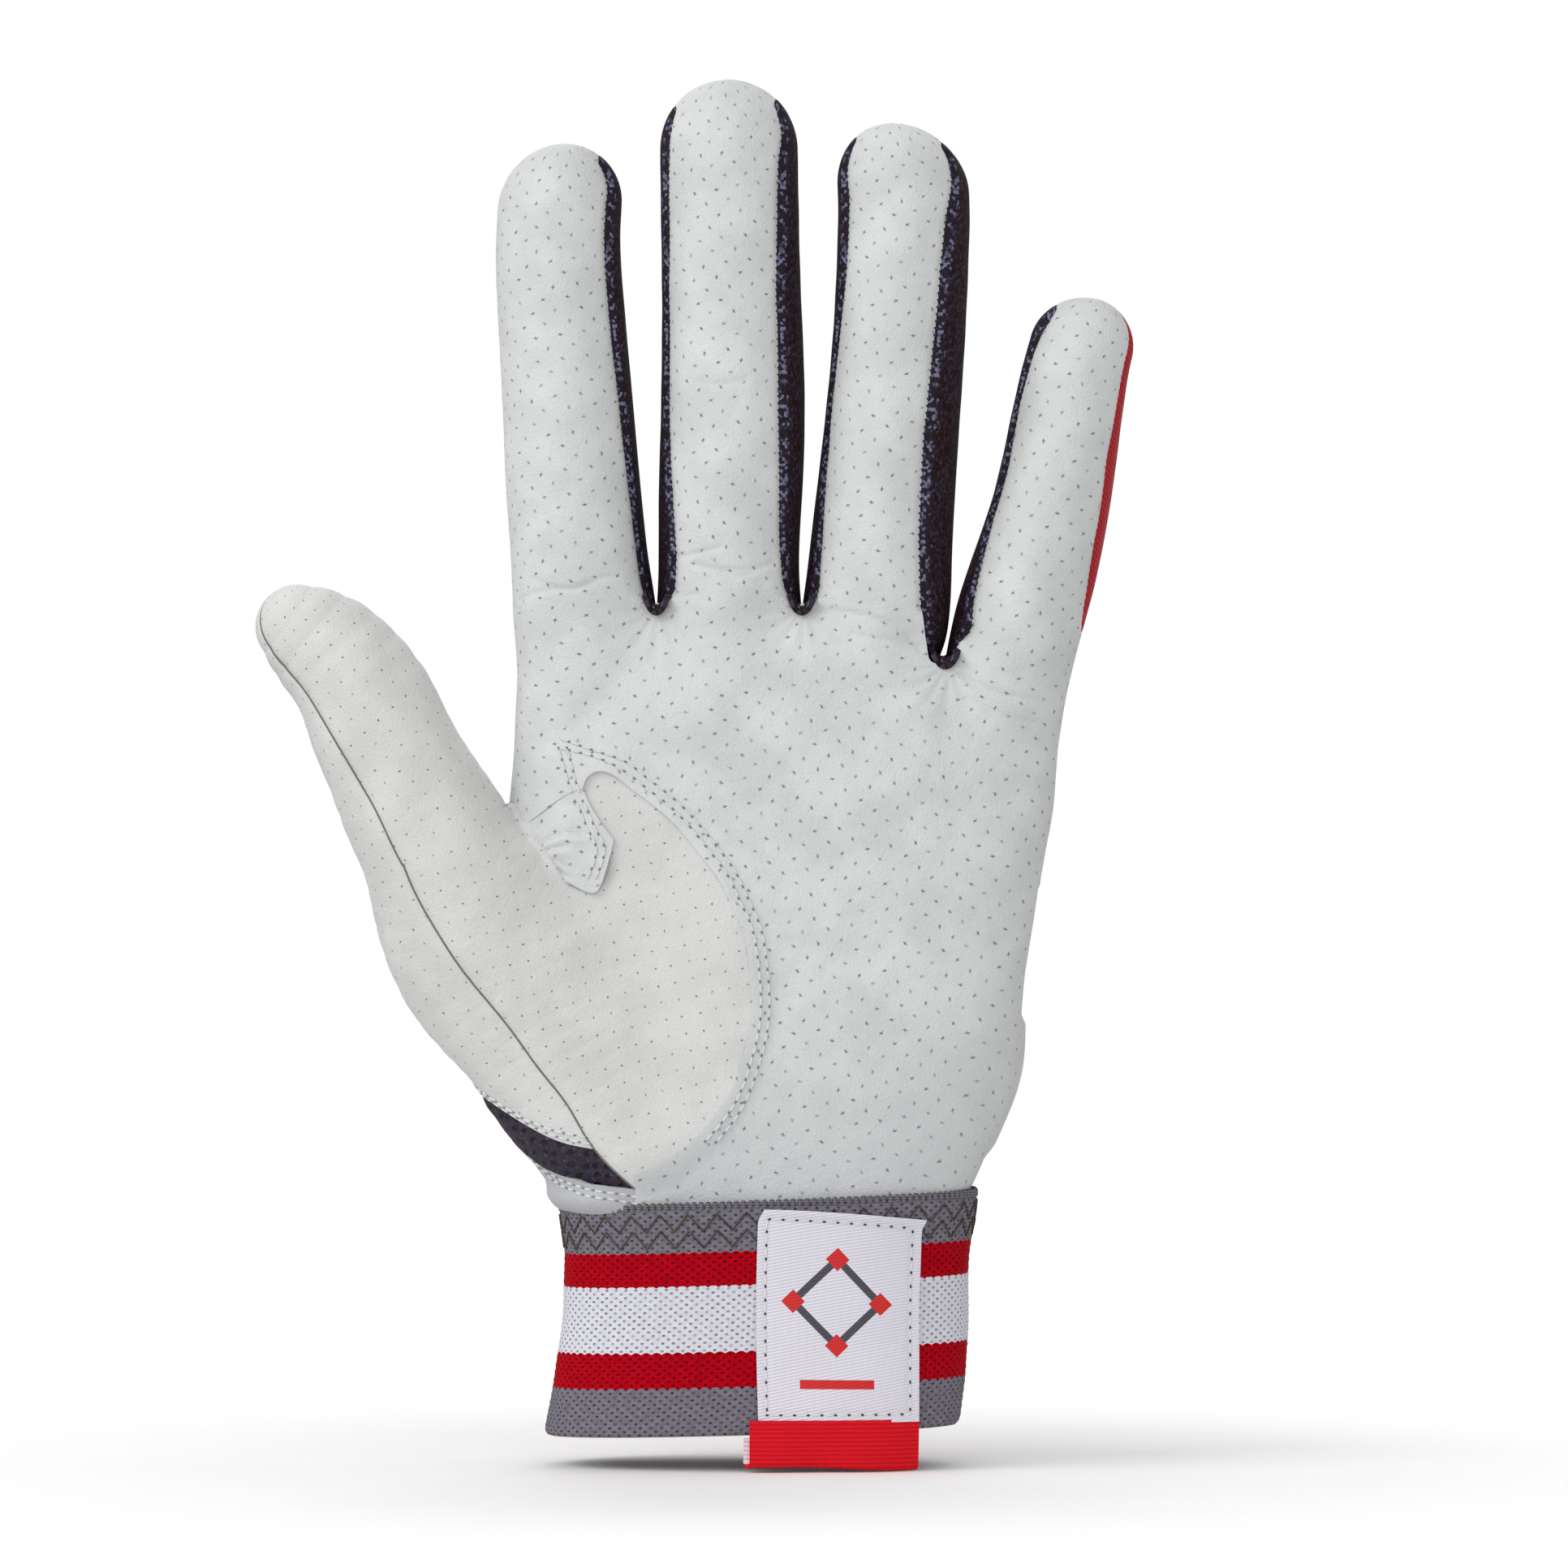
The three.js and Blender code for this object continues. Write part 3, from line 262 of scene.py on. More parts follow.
# Stitched rows: along the thumb edge (offset from it, corner at its end), down from there, on the tongue
EDGE_ROWS = ((-1.55, (-32.7, 110.6)), (-2.9, (-32.3, 112.0)))
EDGE_ROWS_LOW = 47
CORNER_ROW = ((-32.9, 110.6), (-31.3, 105.0), (-30.6, 103.4))
TONGUE_ROW = ((-30.2, 102.0), (-29.6, 101.0), (-28.0, 97.3), (-26.9, 95.3), (-28.2, 89.4))
ROW_GAP = 1.3

# Creases pressed into the leather by the hand: line, depth, width
CREASES = (
    (((-39.6, 134.6), (-34.0, 136.2), (-29.4, 136.6), (-26.8, 137.8), (-23.7, 138.4)), 0.26, 0.45),
    (((-37.0, 137.8), (-31.7, 136.2), (-28.0, 137.0)), 0.2, 0.45),
    (((-13.9, 141.6), (-11.7, 141.8), (-9.4, 142.4), (-6.8, 142.9)), 0.3, 0.45),
    (((-11.2, 140.3), (-8.6, 139.6), (-5.9, 139.3), (-2.8, 139.4), (-0.1, 139.8), (1.6, 140.6)), 0.32, 0.45),
    (((-6.6, 138.8), (-3.2, 138.3), (-1.9, 138.7)), 0.3, 0.45),
    (((-2.3, 137.8), (0.3, 137.0)), 0.25, 0.45),
    (((-14.3, 135.2), (-10.8, 135.4)), 0.25, 0.45),
    (((-10.5, 169.6), (-6.6, 169.4), (-2.8, 170.0)), 0.22, 0.6),
    (
        (
            (8.8, 133.4), (11.5, 132.9), (15.0, 132.2), (18.6, 131.4), (21.7, 130.1), (23.9, 128.3),
            (25.6, 126.4),
        ),
        0.3, 0.45,
    ),
    (((14.5, 129.0), (19.8, 128.0), (25.0, 127.0)), 0.22, 0.6),
    (((31.7, 122.8), (37.0, 119.8), (43.0, 118.6), (47.5, 118.0)), 0.32, 0.55),
    (((33.0, 118.6), (39.0, 115.8), (46.0, 114.6)), 0.25, 0.55),
)
# Pleats of the tongue: line, height of the step, and how far the sunk side reaches
PLEATS = (
    (((-37.0, 94.4), (-35.4, 95.6), (-33.3, 96.5), (-31.3, 96.9), (-28.0, 96.5)), 1.1, 2.6),
    (((-36.0, 93.4), (-34.6, 94.1), (-33.0, 94.6), (-31.0, 94.6)), 0.7, 1.5),
    (((-34.8, 92.4), (-33.4, 92.3), (-31.4, 91.4)), 0.4, 1.0),
)

# Seams, stitches and perforations
LEATHER_THICKNESS = 0.8
KNIT_THICKNESS = 0.7
EDGE_LIFT = 0.8
EDGE_LIFT_REACH = 4.5
FOLD_HEIGHT = 0.9
SEAM_DIP = 0.5
SEAM_DIP_WIDTH = 0.8
SEAM_PITCH = 1.15
STITCH_PITCH = 2.0
STITCH_LIFT = 0.12
THREAD_RADIUS = 0.2
NEEDLE_HOLE = (0.26, 0.19)
SEAM_BEAD = (0.34, 0.17)
SEAM_THREAD_RADIUS = 0.16
SEAM_THREAD_SINK = 0.28
HOLE_PITCH = 2.8
PALM_HOLE_TURN = math.radians(-53)
THUMB_HOLE_TURN = math.radians(-12)
# Knit ribs are coarser than real ones, so that they show
KNIT_PITCH = 1.1
SIDE_KNIT_LOOP = 0.5
MESH_PITCH = 1.8

# Cuff, label and pull loop
CUFF_HEIGHT = 38
CUFF_THICKNESS = 1.6
CUFF_LEFT = ((0, -35.5), (10, -33.9), (20, -32.6), (26, -32.3), (31, -32.2), (35, -32.7), (38, -33.3))
CUFF_RIGHT = ((0, 32.0), (8, 32.9), (20, 33.4), (28, 33.6), (34, 34.4), (38, 35.1))
CUFF_HALF_DEPTH = 17.6
CUFF_POWER = 2.6
CUFF_BOTTOM = (-0.7, 1.1)
CUFF_TOP = (36.0, 38.5)
CUFF_CELL = (1.7, 0.62)
CUFF_HOLE = (0.27, 0.17)
CUFF_ROWS = 60
# Bands woven into the cuff: from and to as shares of its height, two close tones, and the painted shade of
# the holes
CUFF_BANDS = (
    (0.205, 0.795, "#a00012", "#b40319", "#400006"),
    (0.36, 0.648, "#cfcfd8", "#dbdbe3", "#65636d"),
)
BEAD_PITCH = 1.1
BEAD_SIZE = (0.75, 0.5)
ZIGZAG_PITCH = 4.5
ZIGZAG_RISE = 1.35
ZIGZAG_HEIGHTS = (30.9, 33.5)
ZIGZAG_STEPS = 12
ZIGZAG_RADIUS = 0.15
LABEL_SPAN = (-0.7, 25.2)
LABEL_HEIGHTS = (2.2, 36.5)
LABEL_THICKNESS = 0.6
LABEL_STITCH_PITCH = 2.2
# The twill is coarser than real, so that it shows
TWILL_PITCH = 0.52
MOTIF_CENTRE = (12.9, 19.5)
MOTIF_SIZE = 7.0
BAR_HEIGHT = 6.2
BAR_HALF_SIZE = (6.0, 0.75)
LOOP_WIDTH = 26.1
LOOP_DROP = 5.3
LOOP_RADIUS = 0.95
LOOP_THICKNESS = 0.7

# Wrist and back of the hand. The lines are the hem and the tops of band and mesh by the thumb: places on the
# front, then heights at turns round the side in degrees
BACK_LOW = 62
BAND_TOP = 50
HEM = 30
SLIT_HALF_WIDTH = 4
WRIST_COLUMNS = 150
WRIST_LINES = (
    (((-19.5, HEM),), ((HEM, 90),)),
    (((-19.6, 39.4), (-27.1, 40.3), (-34.0, 42.6)), ((48.6, 90), (50, 150))),
    (((-20.0, 44.0), (-26.4, 46.2), (-33.0, 48.0)), ((55.6, 90), (61, 150))),
)
WRIST_ROW_DEPTHS = (1.1, 2.3)
STRIP_ROW_DEPTHS = (1.0, 2.3)
STRIP_LENGTH = 58
STRIP_BACK_EDGE = ((54, -30.4), (62, -31.4), (72, -33.2), (80, -35.6), (88, -39.0), (101, -43.0))
KNIT_UNDERLAP = 1.5
KNIT_CROTCH = ((-41.0, 88.0), (-43.5, 94.0), (-48.5, 98.0), (-49.5, 101.5), (-45.0, 104.0))
KNIT_SIDE_HEIGHTS = (107.0, 112.0, 118.0, 124.0, 129.0)
KNIT_EDGE_X = (-33.0, -35.2, -38.0)
KNIT_EDGE_HEIGHTS = (72.0, 80.0)
TAB_HEIGHTS = (43, 68)
TAB_MIDDLE = 50.0
TAB_ROOT_X = -24
TAB_WRAP = math.radians(137)
TAB_THICKNESS = 1.5
TAB_CLEARANCE = 0.35
TAB_LENGTH = 60
# Columns and rows of the strap's grid, and its stitched row as a column and a row of that grid at each corner
TAB_GRID = (120, 50)
TAB_ROW = ((2, 4), (113, 4), (113, 45), (2, 45))
TAPE_GRID = (60, 40)
TAPE_THICKNESS = 0.9
TAPE_LENGTH = 26
TAPE_MARGIN = 4

# Camera and stage. Lamps: name, place in metres, width, power
VIEW_CENTRE = (3.43, 104.8)
VIEW_WIDTH = 255
LENS = 200
SENSOR = 36
FLOOR_HEIGHT = -5.8
FLOOR_RADIUS = 160
FLOOR_CORNERS = 96
WORLD_STRENGTH = 0.58
LAMPS = (
    ("Key", (-0.95, -0.5, 0.9), 0.8, 6.8),
    ("Front", (-0.1, -0.95, 0.35), 0.9, 2.7),
    ("Back", (0.1, 0.9, 0.7), 0.8, 3.0),
)


def smooth(t):
    """Eased step from 0 to 1."""
    t = np.clip(t, 0, 1)
    return t * t * (3 - 2 * t)


def mound(distance, width):
    """Bell of height 1, falling to 1/e at the given width."""
    return np.exp(-((distance / width) ** 2))


def unit(vectors):
    """Vectors scaled to length 1."""
    return vectors / np.maximum(np.linalg.norm(vectors, axis=-1, keepdims=True), 1e-12)


def curve_through(knots):
    """Natural cubic spline through (place, value) pairs, held level past both ends."""
    x, y = np.array(knots, float).T
    h = np.diff(x)
    size = len(x)
    system = np.eye(size)
    rise = np.zeros(size)
    if size > 2:
        inner = np.arange(1, size - 1)
        system[inner, inner - 1] = h[:-1]
        system[inner, inner] = 2 * (h[:-1] + h[1:])
        system[inner, inner + 1] = h[1:]
        rise[1:-1] = 6 * np.diff(np.diff(y) / h)
    bend = np.linalg.solve(system, rise)

    def value(place):
        place = np.clip(place, x[0], x[-1])
        i = np.clip(np.searchsorted(x, place) - 1, 0, size - 2)
        before = place - x[i]
        after = x[i + 1] - place
        cubic = (bend[i] * after**3 + bend[i + 1] * before**3) / (6 * h[i])
        low = (y[i] / h[i] - bend[i] * h[i] / 6) * after
        high = (y[i + 1] / h[i] - bend[i + 1] * h[i] / 6) * before
        return cubic + low + high

    return value


def lengths_along(points):
    """Distance of each point from the first, along the line through them."""
    steps = np.linalg.norm(np.diff(points, axis=0), axis=1)
    return np.concatenate([[0], np.cumsum(steps)])


def along_line(places, lengths, values):
    """Rows of values, given at lengths along a line, at other places along it."""
    return np.stack([np.interp(places, lengths, column) for column in values.T], -1)


def eased_line(points, step):
    """Points about one step apart on the smooth curve through the given ones."""
    points = np.array(points, float)
    along = lengths_along(points)
    places = np.linspace(0, along[-1], max(int(round(along[-1] / step)), 1) + 1)
    return np.stack([curve_through(np.stack([along, column], 1))(places) for column in points.T], -1)


def counted_line(points, count):
    """A count of evenly spaced points on the straight-sided line through the given ones."""
    points = np.array(points, float)
    along = lengths_along(points)
    return along_line(np.linspace(0, along[-1], count), along, points)


def even_line(points, step):
    """Points one step apart on the straight-sided line through the given ones."""
    whole = lengths_along(np.array(points, float))[-1]
    return counted_line(points, max(int(round(whole / step)), 1) + 1)


def side_line(points, offset):
    """The line moved sideways by offset, to the left of its direction when positive."""
    points = np.array(points, float)
    way = unit(np.gradient(points, axis=0))
    return points + offset * np.stack([-way[:, 1], way[:, 0]], -1)


def to_line(places, line):
    """Distance from each place to a line of points, and the nearest place on it."""
    best = np.full(places.shape[:-1], np.inf)
    nearest = np.array(places, float)
    for start, end in zip(line[:-1], line[1:]):
        way = end - start
        share = np.clip(((places - start) @ way) / max(way @ way, 1e-12), 0, 1)
        foot = start + share[..., None] * way
        away = np.linalg.norm(places - foot, axis=-1)
        closer = away < best
        best = np.where(closer, away, best)
        nearest = np.where(closer[..., None], foot, nearest)
    return best, nearest


def within(places, outline):
    """True where a place lies inside a closed outline: a ray from it crosses that an odd number of times."""
    inside = np.zeros(places.shape[:-1], bool)
    for (x0, z0), (x1, z1) in zip(outline[:-1], outline[1:]):
        spans = (z0 > places[..., 1]) != (z1 > places[..., 1])
        rise = z1 - z0 if z1 != z0 else 1e-12
        crossing = x0 + (places[..., 1] - z0) * (x1 - x0) / rise
        inside ^= spans & (places[..., 0] < crossing)
    return inside


def join(a, b, fillet):
    """Union of two forms with a rounded valley of the given width."""
    near = np.maximum(fillet - np.abs(a - b), 0) / fillet
    return np.minimum(a, b) - near * near * fillet / 4


def oval(across, half_width, y, front, back, power):
    """Distance to an oval section, negative inside: its size measure less 1, over how steeply that grows."""
    depth = np.where(y < 0, front, back)
    wide, deep = np.abs(across / half_width), np.abs(y / depth)
    size = np.maximum((wide**power + deep**power) ** (1 / power), 1e-6)
    steep = np.hypot((wide / size) ** (power - 1) / half_width, (deep / size) ** (power - 1) / depth)
    return (size - 1) / steep


def hinge(name):
    """Place and axis of a CAD joint."""
    joint = JOINTS[name]
    return np.array(joint["pos_m"]) / MM, np.array(joint["axis"])


def to_palm(side, angle):
    """Directions turned by angles from a sideways one towards the palm side."""
    return np.cos(angle)[..., None] * side - np.sin(angle)[..., None] * np.array([0, 1.0, 0])


def scalloped(inset, s):
    """Seam inset with the small bites of its stitches."""
    fade = np.clip(inset / 0.5, 0, 1)
    return inset + 0.09 * fade * (np.abs(np.sin(math.pi * s / SEAM_PITCH)) - 0.6)


class Finger:
    """A finger of the hand form: a leaning tube of oval section with a round tip."""

    def __init__(self, name):
        sizes = FINGERS[name]
        place, axis = hinge(name + "_knuckle")
        bend = hinge(name + "_middle_joint")[0]
        self.name = name
        self.side = axis
        self.along = np.array([-axis[2], 0, axis[0]])
        self.base = np.array([place[0], 0, place[2]])
        self.bend = float((bend - place) @ self.along)
        self.length = sizes["length"]
        self.tip = sizes["tip"]
        self.split = sizes["split"]
        self.width = curve_through(sizes["width"])
        self.shift = curve_through(sizes["shift"])
        root, end = sizes["depth"]
        self.depth = curve_through(((-30, ROOT_DEPTH), (-12, root - 1.2), (0, root), (self.length, end)))
        self.right = np.array(sizes["right"]).T
        self.left = np.array(sizes["left"]).T

    def field(self, p):
        """Negative inside the finger."""
        away = p - self.base
        s = away @ self.along
        half, depth = self.width(s), self.depth(s)
        over = np.maximum(s - (self.length - self.tip), 0) / self.tip
        across = (away @ self.side - self.shift(s)) / half
        total = np.sqrt(across**2 + (p[..., 1] / depth) ** 2 + over**2)
        return (total - 1) * np.minimum(half, depth)

    def rays(self, s, angle):
        """Rays out of the finger's middle line: straight out along its length, fanned over the tip."""
        centre = self.length - self.tip
        tilt = np.arcsin(np.clip((s - centre) / self.tip, 0, 0.99995))
        way = np.cos(tilt)[..., None] * to_palm(self.side, angle) + np.sin(tilt)[..., None] * self.along
        middle = self.base + np.minimum(s, centre)[..., None] * self.along
        return middle + self.shift(s)[..., None] * self.side, way

    def seam(self, s, inset):
        """Ray angle, from the little-finger side, of a seam that runs inset inside the outline."""
        over = np.clip((s - (self.length - self.tip)) / self.tip, 0, 0.99995)
        dome = np.sqrt(1 - over**2)
        half, depth = self.width(s) * dome, self.depth(s) * dome
        room = np.where(inset < 0, self.width(s), half)
        turn = np.sign(inset) * np.arccos(np.clip(1 - np.abs(inset) / room, -1, 1))
        return np.arctan2(depth * np.sin(turn), half * np.cos(turn))

    def over_tip(self, s, side, angle):
        """Carries a seam angle behind the outline at the end of its side strip, so leather covers the tip."""
        if self.name not in STRIP_LOW[side]:
            return angle
        end = getattr(self, side)[0, -1]
        ease = smooth((s - (end - 2.5)) / 2.5)
        return angle + (-BACK_SEAM_ANGLE - angle) * ease

    def front_seams(self, s, bites=False):
        """Ray angles of the front panel's seams, right and left."""
        angles = []
        for side in ("right", "left"):
            inset = np.interp(s, *getattr(self, side))
            if bites:
                inset = scalloped(inset, s)
            angles.append(self.over_tip(s, side, self.seam(s, inset)))
        return angles[0], math.pi - angles[1]

    def back_seams(self, s):
        """Ray angles of the back panel's seams, which are the front seams where there is no side strip."""
        right, left = self.front_seams(s)
        if self.name in STRIP_LOW["right"]:
            right = np.full_like(s, -BACK_SEAM_ANGLE)
        if self.name in STRIP_LOW["left"]:
            left = np.full_like(s, math.pi + BACK_SEAM_ANGLE)
        return right, left


HAND = {name: Finger(name) for name in FINGERS}
palm_left, palm_right, palm_front, palm_back = (
    curve_through([(row[0], row[k]) for row in PALM_ROWS]) for k in (1, 2, 3, 4)
)


def palm_field(p):
    """Negative inside the palm and wrist: an oval section by height, thinning out under the fingers."""
    x, y, z = p[..., 0], p[..., 1], p[..., 2]
    fall = smooth((x - 25) / 6) * (LITTLE_FALL + LITTLE_SLOPE * (x - HAND["little"].base[0]))
    raised = z + fall * smooth((z - 90) / 15)
    left, right = palm_left(z), palm_right(z)
    front, back = palm_front(raised), palm_back(raised)
    side = oval(x - (left + right) / 2, (right - left) / 2, y, front, back, PALM_POWER)
    return np.maximum(side, raised - PALM_TOP)


def thumb_stations():
    """The thumb limb's rows, resampled finely on smooth curves."""
    rows = np.array(THUMB_ROWS)
    along = lengths_along(rows[:, :2])
    places = np.linspace(0, along[-1], 30)
    return np.stack([curve_through(np.stack([along, column], 1))(places) for column in rows.T], -1)


THUMB = thumb_stations()


def where_near(near, field, p):
    """A form's value where it may matter, and a large one elsewhere, to save work."""
    result = np.full(near.shape, 60.0)
    if near.any():
        result[near] = field(p[near])
    return result


def thumb_field(p):
    """Negative inside the thumb limb, worked out on the thumb's side of the hand only."""
    return where_near((p[..., 0] < 14) & (p[..., 2] < 150), thumb_links, p)


def thumb_links(p):
    """Negative inside the thumb limb: the least of the tapered links between its stations."""
    x, y, z = p[..., 0], p[..., 1], p[..., 2]
    result = np.full(x.shape, np.inf)
    for first, second in zip(THUMB[:-1], THUMB[1:]):
        way = second[:2] - first[:2]
        share = np.clip(((x - first[0]) * way[0] + (z - first[1]) * way[1]) / (way @ way), 0, 1)
        middle = first + share[..., None] * (second - first)
        across = np.hypot(x - middle[..., 0], z - middle[..., 1])
        value = oval(across, middle[..., 3], y - middle[..., 2], middle[..., 4], middle[..., 5], 2)
        result = np.minimum(result, value)
    return result


def fingers_field(p):
    """Palm with the four finger roots."""
    nearest = where_near(p[..., 2] > 88, finger_forms, p)
    return join(palm_field(p), nearest, ROOT_FILLET)


def finger_forms(p):
    """The least of the four finger forms."""
    return np.min([finger.field(p) for finger in HAND.values()], axis=0)


def over_height(p, height, ease):
    """0 for places below a height, and an eased rise to 1 above it."""
    return smooth((p[..., 2] - height) / ease)


def valley(p):
    """Width of the rounded valley between palm and thumb, which narrows near the crotch."""
    return THUMB_VALLEY - VALLEY_LOSS * over_height(p, *VALLEY_NARROWS)


def front_field(p):
    """Form under the palm leather: the thumb's mound fades out towards the thumb crotch."""
    return join(fingers_field(p), thumb_field(p) + FADE_DEPTH * over_height(p, *FRONT_FADE), THUMB_VALLEY)


def thumb_back_field(p):
    """Form under the knit back: fingers, palm and the thumb's back, which fades out above the crotch."""
    return join(fingers_field(p), thumb_field(p) + FADE_DEPTH * over_height(p, *BACK_FADE), valley(p))


def thumb_side_field(p):
    """Form under the thumb's base: palm and thumb, their valley sharper near the crotch."""
    return join(palm_field(p), thumb_field(p), valley(p))


def strip_field(p):
    """Form under the strip outside the thumb's seam: palm and thumb, without the palm beside the crotch."""
    return join(palm_field(p) + STRIP_SINK * over_height(p, *STRIP_FADE), thumb_field(p), valley(p))


def reach(start, way, field):
    """Distance along rays from inside a form to its skin, by halving."""
    low = np.zeros(way.shape[:-1])
    high = np.full(way.shape[:-1], RAY_LENGTH)
    for _ in range(RAY_HALVINGS):
        middle = (low + high) / 2
        inside = field(start + middle[..., None] * way) < 0
        low = np.where(inside, middle, low)
        high = np.where(inside, high, middle)
    return (low + high) / 2


def meet(start, way, field, over=0):
    """Places where rays from inside a form meet its skin, or a height over it along the rays."""
    return start + (reach(start, way, field) + over)[..., None] * way


def lean_of(p, field):
    """Outward direction of a form at places on its skin."""
    step = 0.05
    parts = []
    for axis in np.eye(3):
        parts.append(field(p + step * axis) - field(p - step * axis))
    return unit(np.stack(parts, -1))


def wrap_rays(q, z, facing):
    """Rays for the palm (facing -1) or the back (facing 1).

    q is x on the flat and follows an arc past the sides. The thumb-side arc only exists above the crotch.
    """
    left = palm_left(z) + SIDE_ROUND
    right = palm_right(z) - SIDE_ROUND
    arcs = smooth((z - 94) / 5)
    past_left = np.maximum(left - q, 0)
    past_right = np.maximum(q - right, 0)
    angle = past_right / SIDE_ROUND - past_left * arcs / SIDE_ROUND
    x = np.where(q < left, left - past_left * (1 - arcs), np.minimum(q, right))
    start = np.stack([x, np.zeros_like(x), z], -1)
    way = np.stack([np.sin(angle), facing * np.cos(angle), np.zeros_like(x)], -1)
    return start, way


def crease_depth(x, z):
    """Depth of the pressed creases at front places, and fine pleats fanned round the finger crotches."""
    places = np.stack([x, z], -1)
    depth = np.zeros_like(x)
    for line, deep, width in CREASES:
        path = eased_line(line, 1.0)
        away, _ = to_line(places, path)
        depth += deep * mound(away, width)
    for web_x, web_z in WEB_POINTS:
        dx, dz = x - web_x, z - web_z
        far = np.hypot(dx, dz)
        turn = np.arctan2(dx, -dz)
        fan = np.sin(turn * 13 + far * 0.25) * (turn * turn < 2.6)
        depth += 0.1 * fan * smooth((far - 1.2) / 2) * mound(far, 9)
    return depth


def pleat_depth(x, z):
    """Depth of the tongue's pleats: each drops steeply above its line and eases out further up."""
    places = np.stack([x, z], -1)
    depth = np.zeros_like(x)
    for line, deep, wide in PLEATS:
        away, nearest = to_line(places, eased_line(line, 0.5))
        above = z > nearest[..., 1]
        ends = smooth(np.minimum(x - line[0][0] + 1.5, line[-1][0] - x + 1.0) / 2.5)
        depth += deep * ends * np.where(above, np.exp(-away / wide), np.exp(-away / 0.35))
        depth -= 0.35 * deep * ends * np.where(above, 0, mound(away - 1.0, 0.8))
    return depth


def wave(x, z, size, seed):
    """Slow unevenness between -1 and 1: crossed sine waves of about the given size."""
    rng = np.random.default_rng(SEED + seed)
    total = np.zeros_like(x)
    for _ in range(6):
        turn, phase, stretch = rng.uniform(0, 2 * math.pi), rng.uniform(0, 2 * math.pi), rng.uniform(0.7, 1.4)
        along = x * math.cos(turn) + z * math.sin(turn)
        total = total + np.sin(along * 2 * math.pi / (size * stretch) + phase)
    return total / 6


def skin(q, z, facing, field, lift, depth_start=0):
    """Places on the skin of a form, lifted off it along its outward direction by a function of the places.

    A start depth gives straight rays from there, as the thumb needs, not rays that wrap round the sides.
    """
    if depth_start:
        start = np.stack([q, np.full_like(q, depth_start), z], -1)
        way = np.broadcast_to([0.0, facing, 0.0], start.shape)
    else:
        start, way = wrap_rays(q, z, facing)
    hit = meet(start, way, field)
    return hit + lift(hit)[..., None] * lean_of(hit, field)


def normals_of(surface, u, v):
    """Outward directions of a surface given as a function of two parameters, from small differences."""
    step = 0.12
    du = surface(u + step, v) - surface(u - step, v)
    dv = surface(u, v + step) - surface(u, v - step)
    return unit(np.cross(du, dv))


def grid_quads(rows, columns, ring=False):
    """Vertex numbers of the quads of a grid, row by row; a ring closes each row on itself."""
    number = np.arange(rows * columns).reshape(rows, columns)
    after = np.roll(number, -1, axis=1)
    wide = columns if ring else columns - 1
    quads = np.stack([number[:-1, :wide], after[:-1, :wide], after[1:, :wide], number[1:, :wide]], -1)
    return quads.reshape(-1, 4)


def grid_normals(points, ring=False):
    """Directions square to a grid of places, from its own differences."""
    if ring:
        du = np.roll(points, -1, axis=1) - np.roll(points, 1, axis=1)
    else:
        du = np.gradient(points, axis=1, edge_order=2)
    dv = np.gradient(points, axis=0, edge_order=2)
    return unit(np.cross(du, dv))


def cut_grid(outline, step):
    """Square grid inside a closed outline, its rim moved on to the outline: places and quads."""
    low = outline.min(axis=0) - 1.5 * step
    counts = np.ceil((outline.max(axis=0) - low) / step).astype(int) + 2
    columns, rows = (low[k] + step * np.arange(counts[k]) for k in (0, 1))
    grid = np.stack(np.meshgrid(columns, rows), -1)
    away, nearest = to_line(grid, outline)
    inside = within(grid, outline) & (away > 0.3 * step)
    kept = inside[:-1, :-1] | inside[:-1, 1:] | inside[1:, 1:] | inside[1:, :-1]
    places = np.where(inside[..., None], grid, nearest).reshape(-1, 2)
    quads = grid_quads(*grid.shape[:2])[kept.reshape(-1)]
    used, quads = np.unique(quads, return_inverse=True)
    return places[used], quads.reshape(-1, 4)


def shape(points, faces, normals, uv, material=0):
    """One closed surface as arrays: places, quads, a direction per quad corner, map places, material."""
    return {
        "points": points,
        "faces": faces,
        "normals": normals,
        "uv": uv,
        "materials": np.full(len(faces), material),
    }


def thicken(outer, normals, quads, thickness, uv):
    """Closed sheet between a skin and its copy one thickness below, with a rim along every open edge."""
    outer, normals, uv = outer.reshape(-1, 3), normals.reshape(-1, 3), uv.reshape(-1, 2)
    count = len(outer)
    points = np.concatenate([outer, outer - thickness * normals])
    edges = np.stack([quads, np.roll(quads, -1, axis=1)], -1).reshape(-1, 2)
    keys = edges.min(axis=1).astype(np.int64) * count + edges.max(axis=1)
    _, which, times = np.unique(keys, return_inverse=True, return_counts=True)
    rim = edges[(times[which.reshape(-1)] == 1) & (edges[:, 0] != edges[:, 1])]
    rim = np.stack([rim[:, 1], rim[:, 0], rim[:, 0] + count, rim[:, 1] + count], -1)
    under = quads[:, ::-1] + count
    faces = np.concatenate([quads, under, rim])
    corners = points[rim]
    flat = unit(np.cross(corners[:, 2] - corners[:, 0], corners[:, 3] - corners[:, 1]))
    corner_normals = np.concatenate([
        normals[quads], -normals[under - count], np.repeat(flat[:, None], 4, axis=1),
    ])
    return shape(points, faces, corner_normals, np.concatenate([uv, uv]))


def grid_sheet(points, way, thickness, uv, ring=False):
    """Closed sheet on a grid of places, its outer side turned the given way, and that side's directions."""
    normals, quads = grid_normals(points, ring), grid_quads(*points.shape[:2], ring)
    if np.mean(np.sum(normals * way, axis=-1)) < 0:
        normals, quads = -normals, quads[:, ::-1]
    return thicken(points, normals, quads, thickness, uv), normals


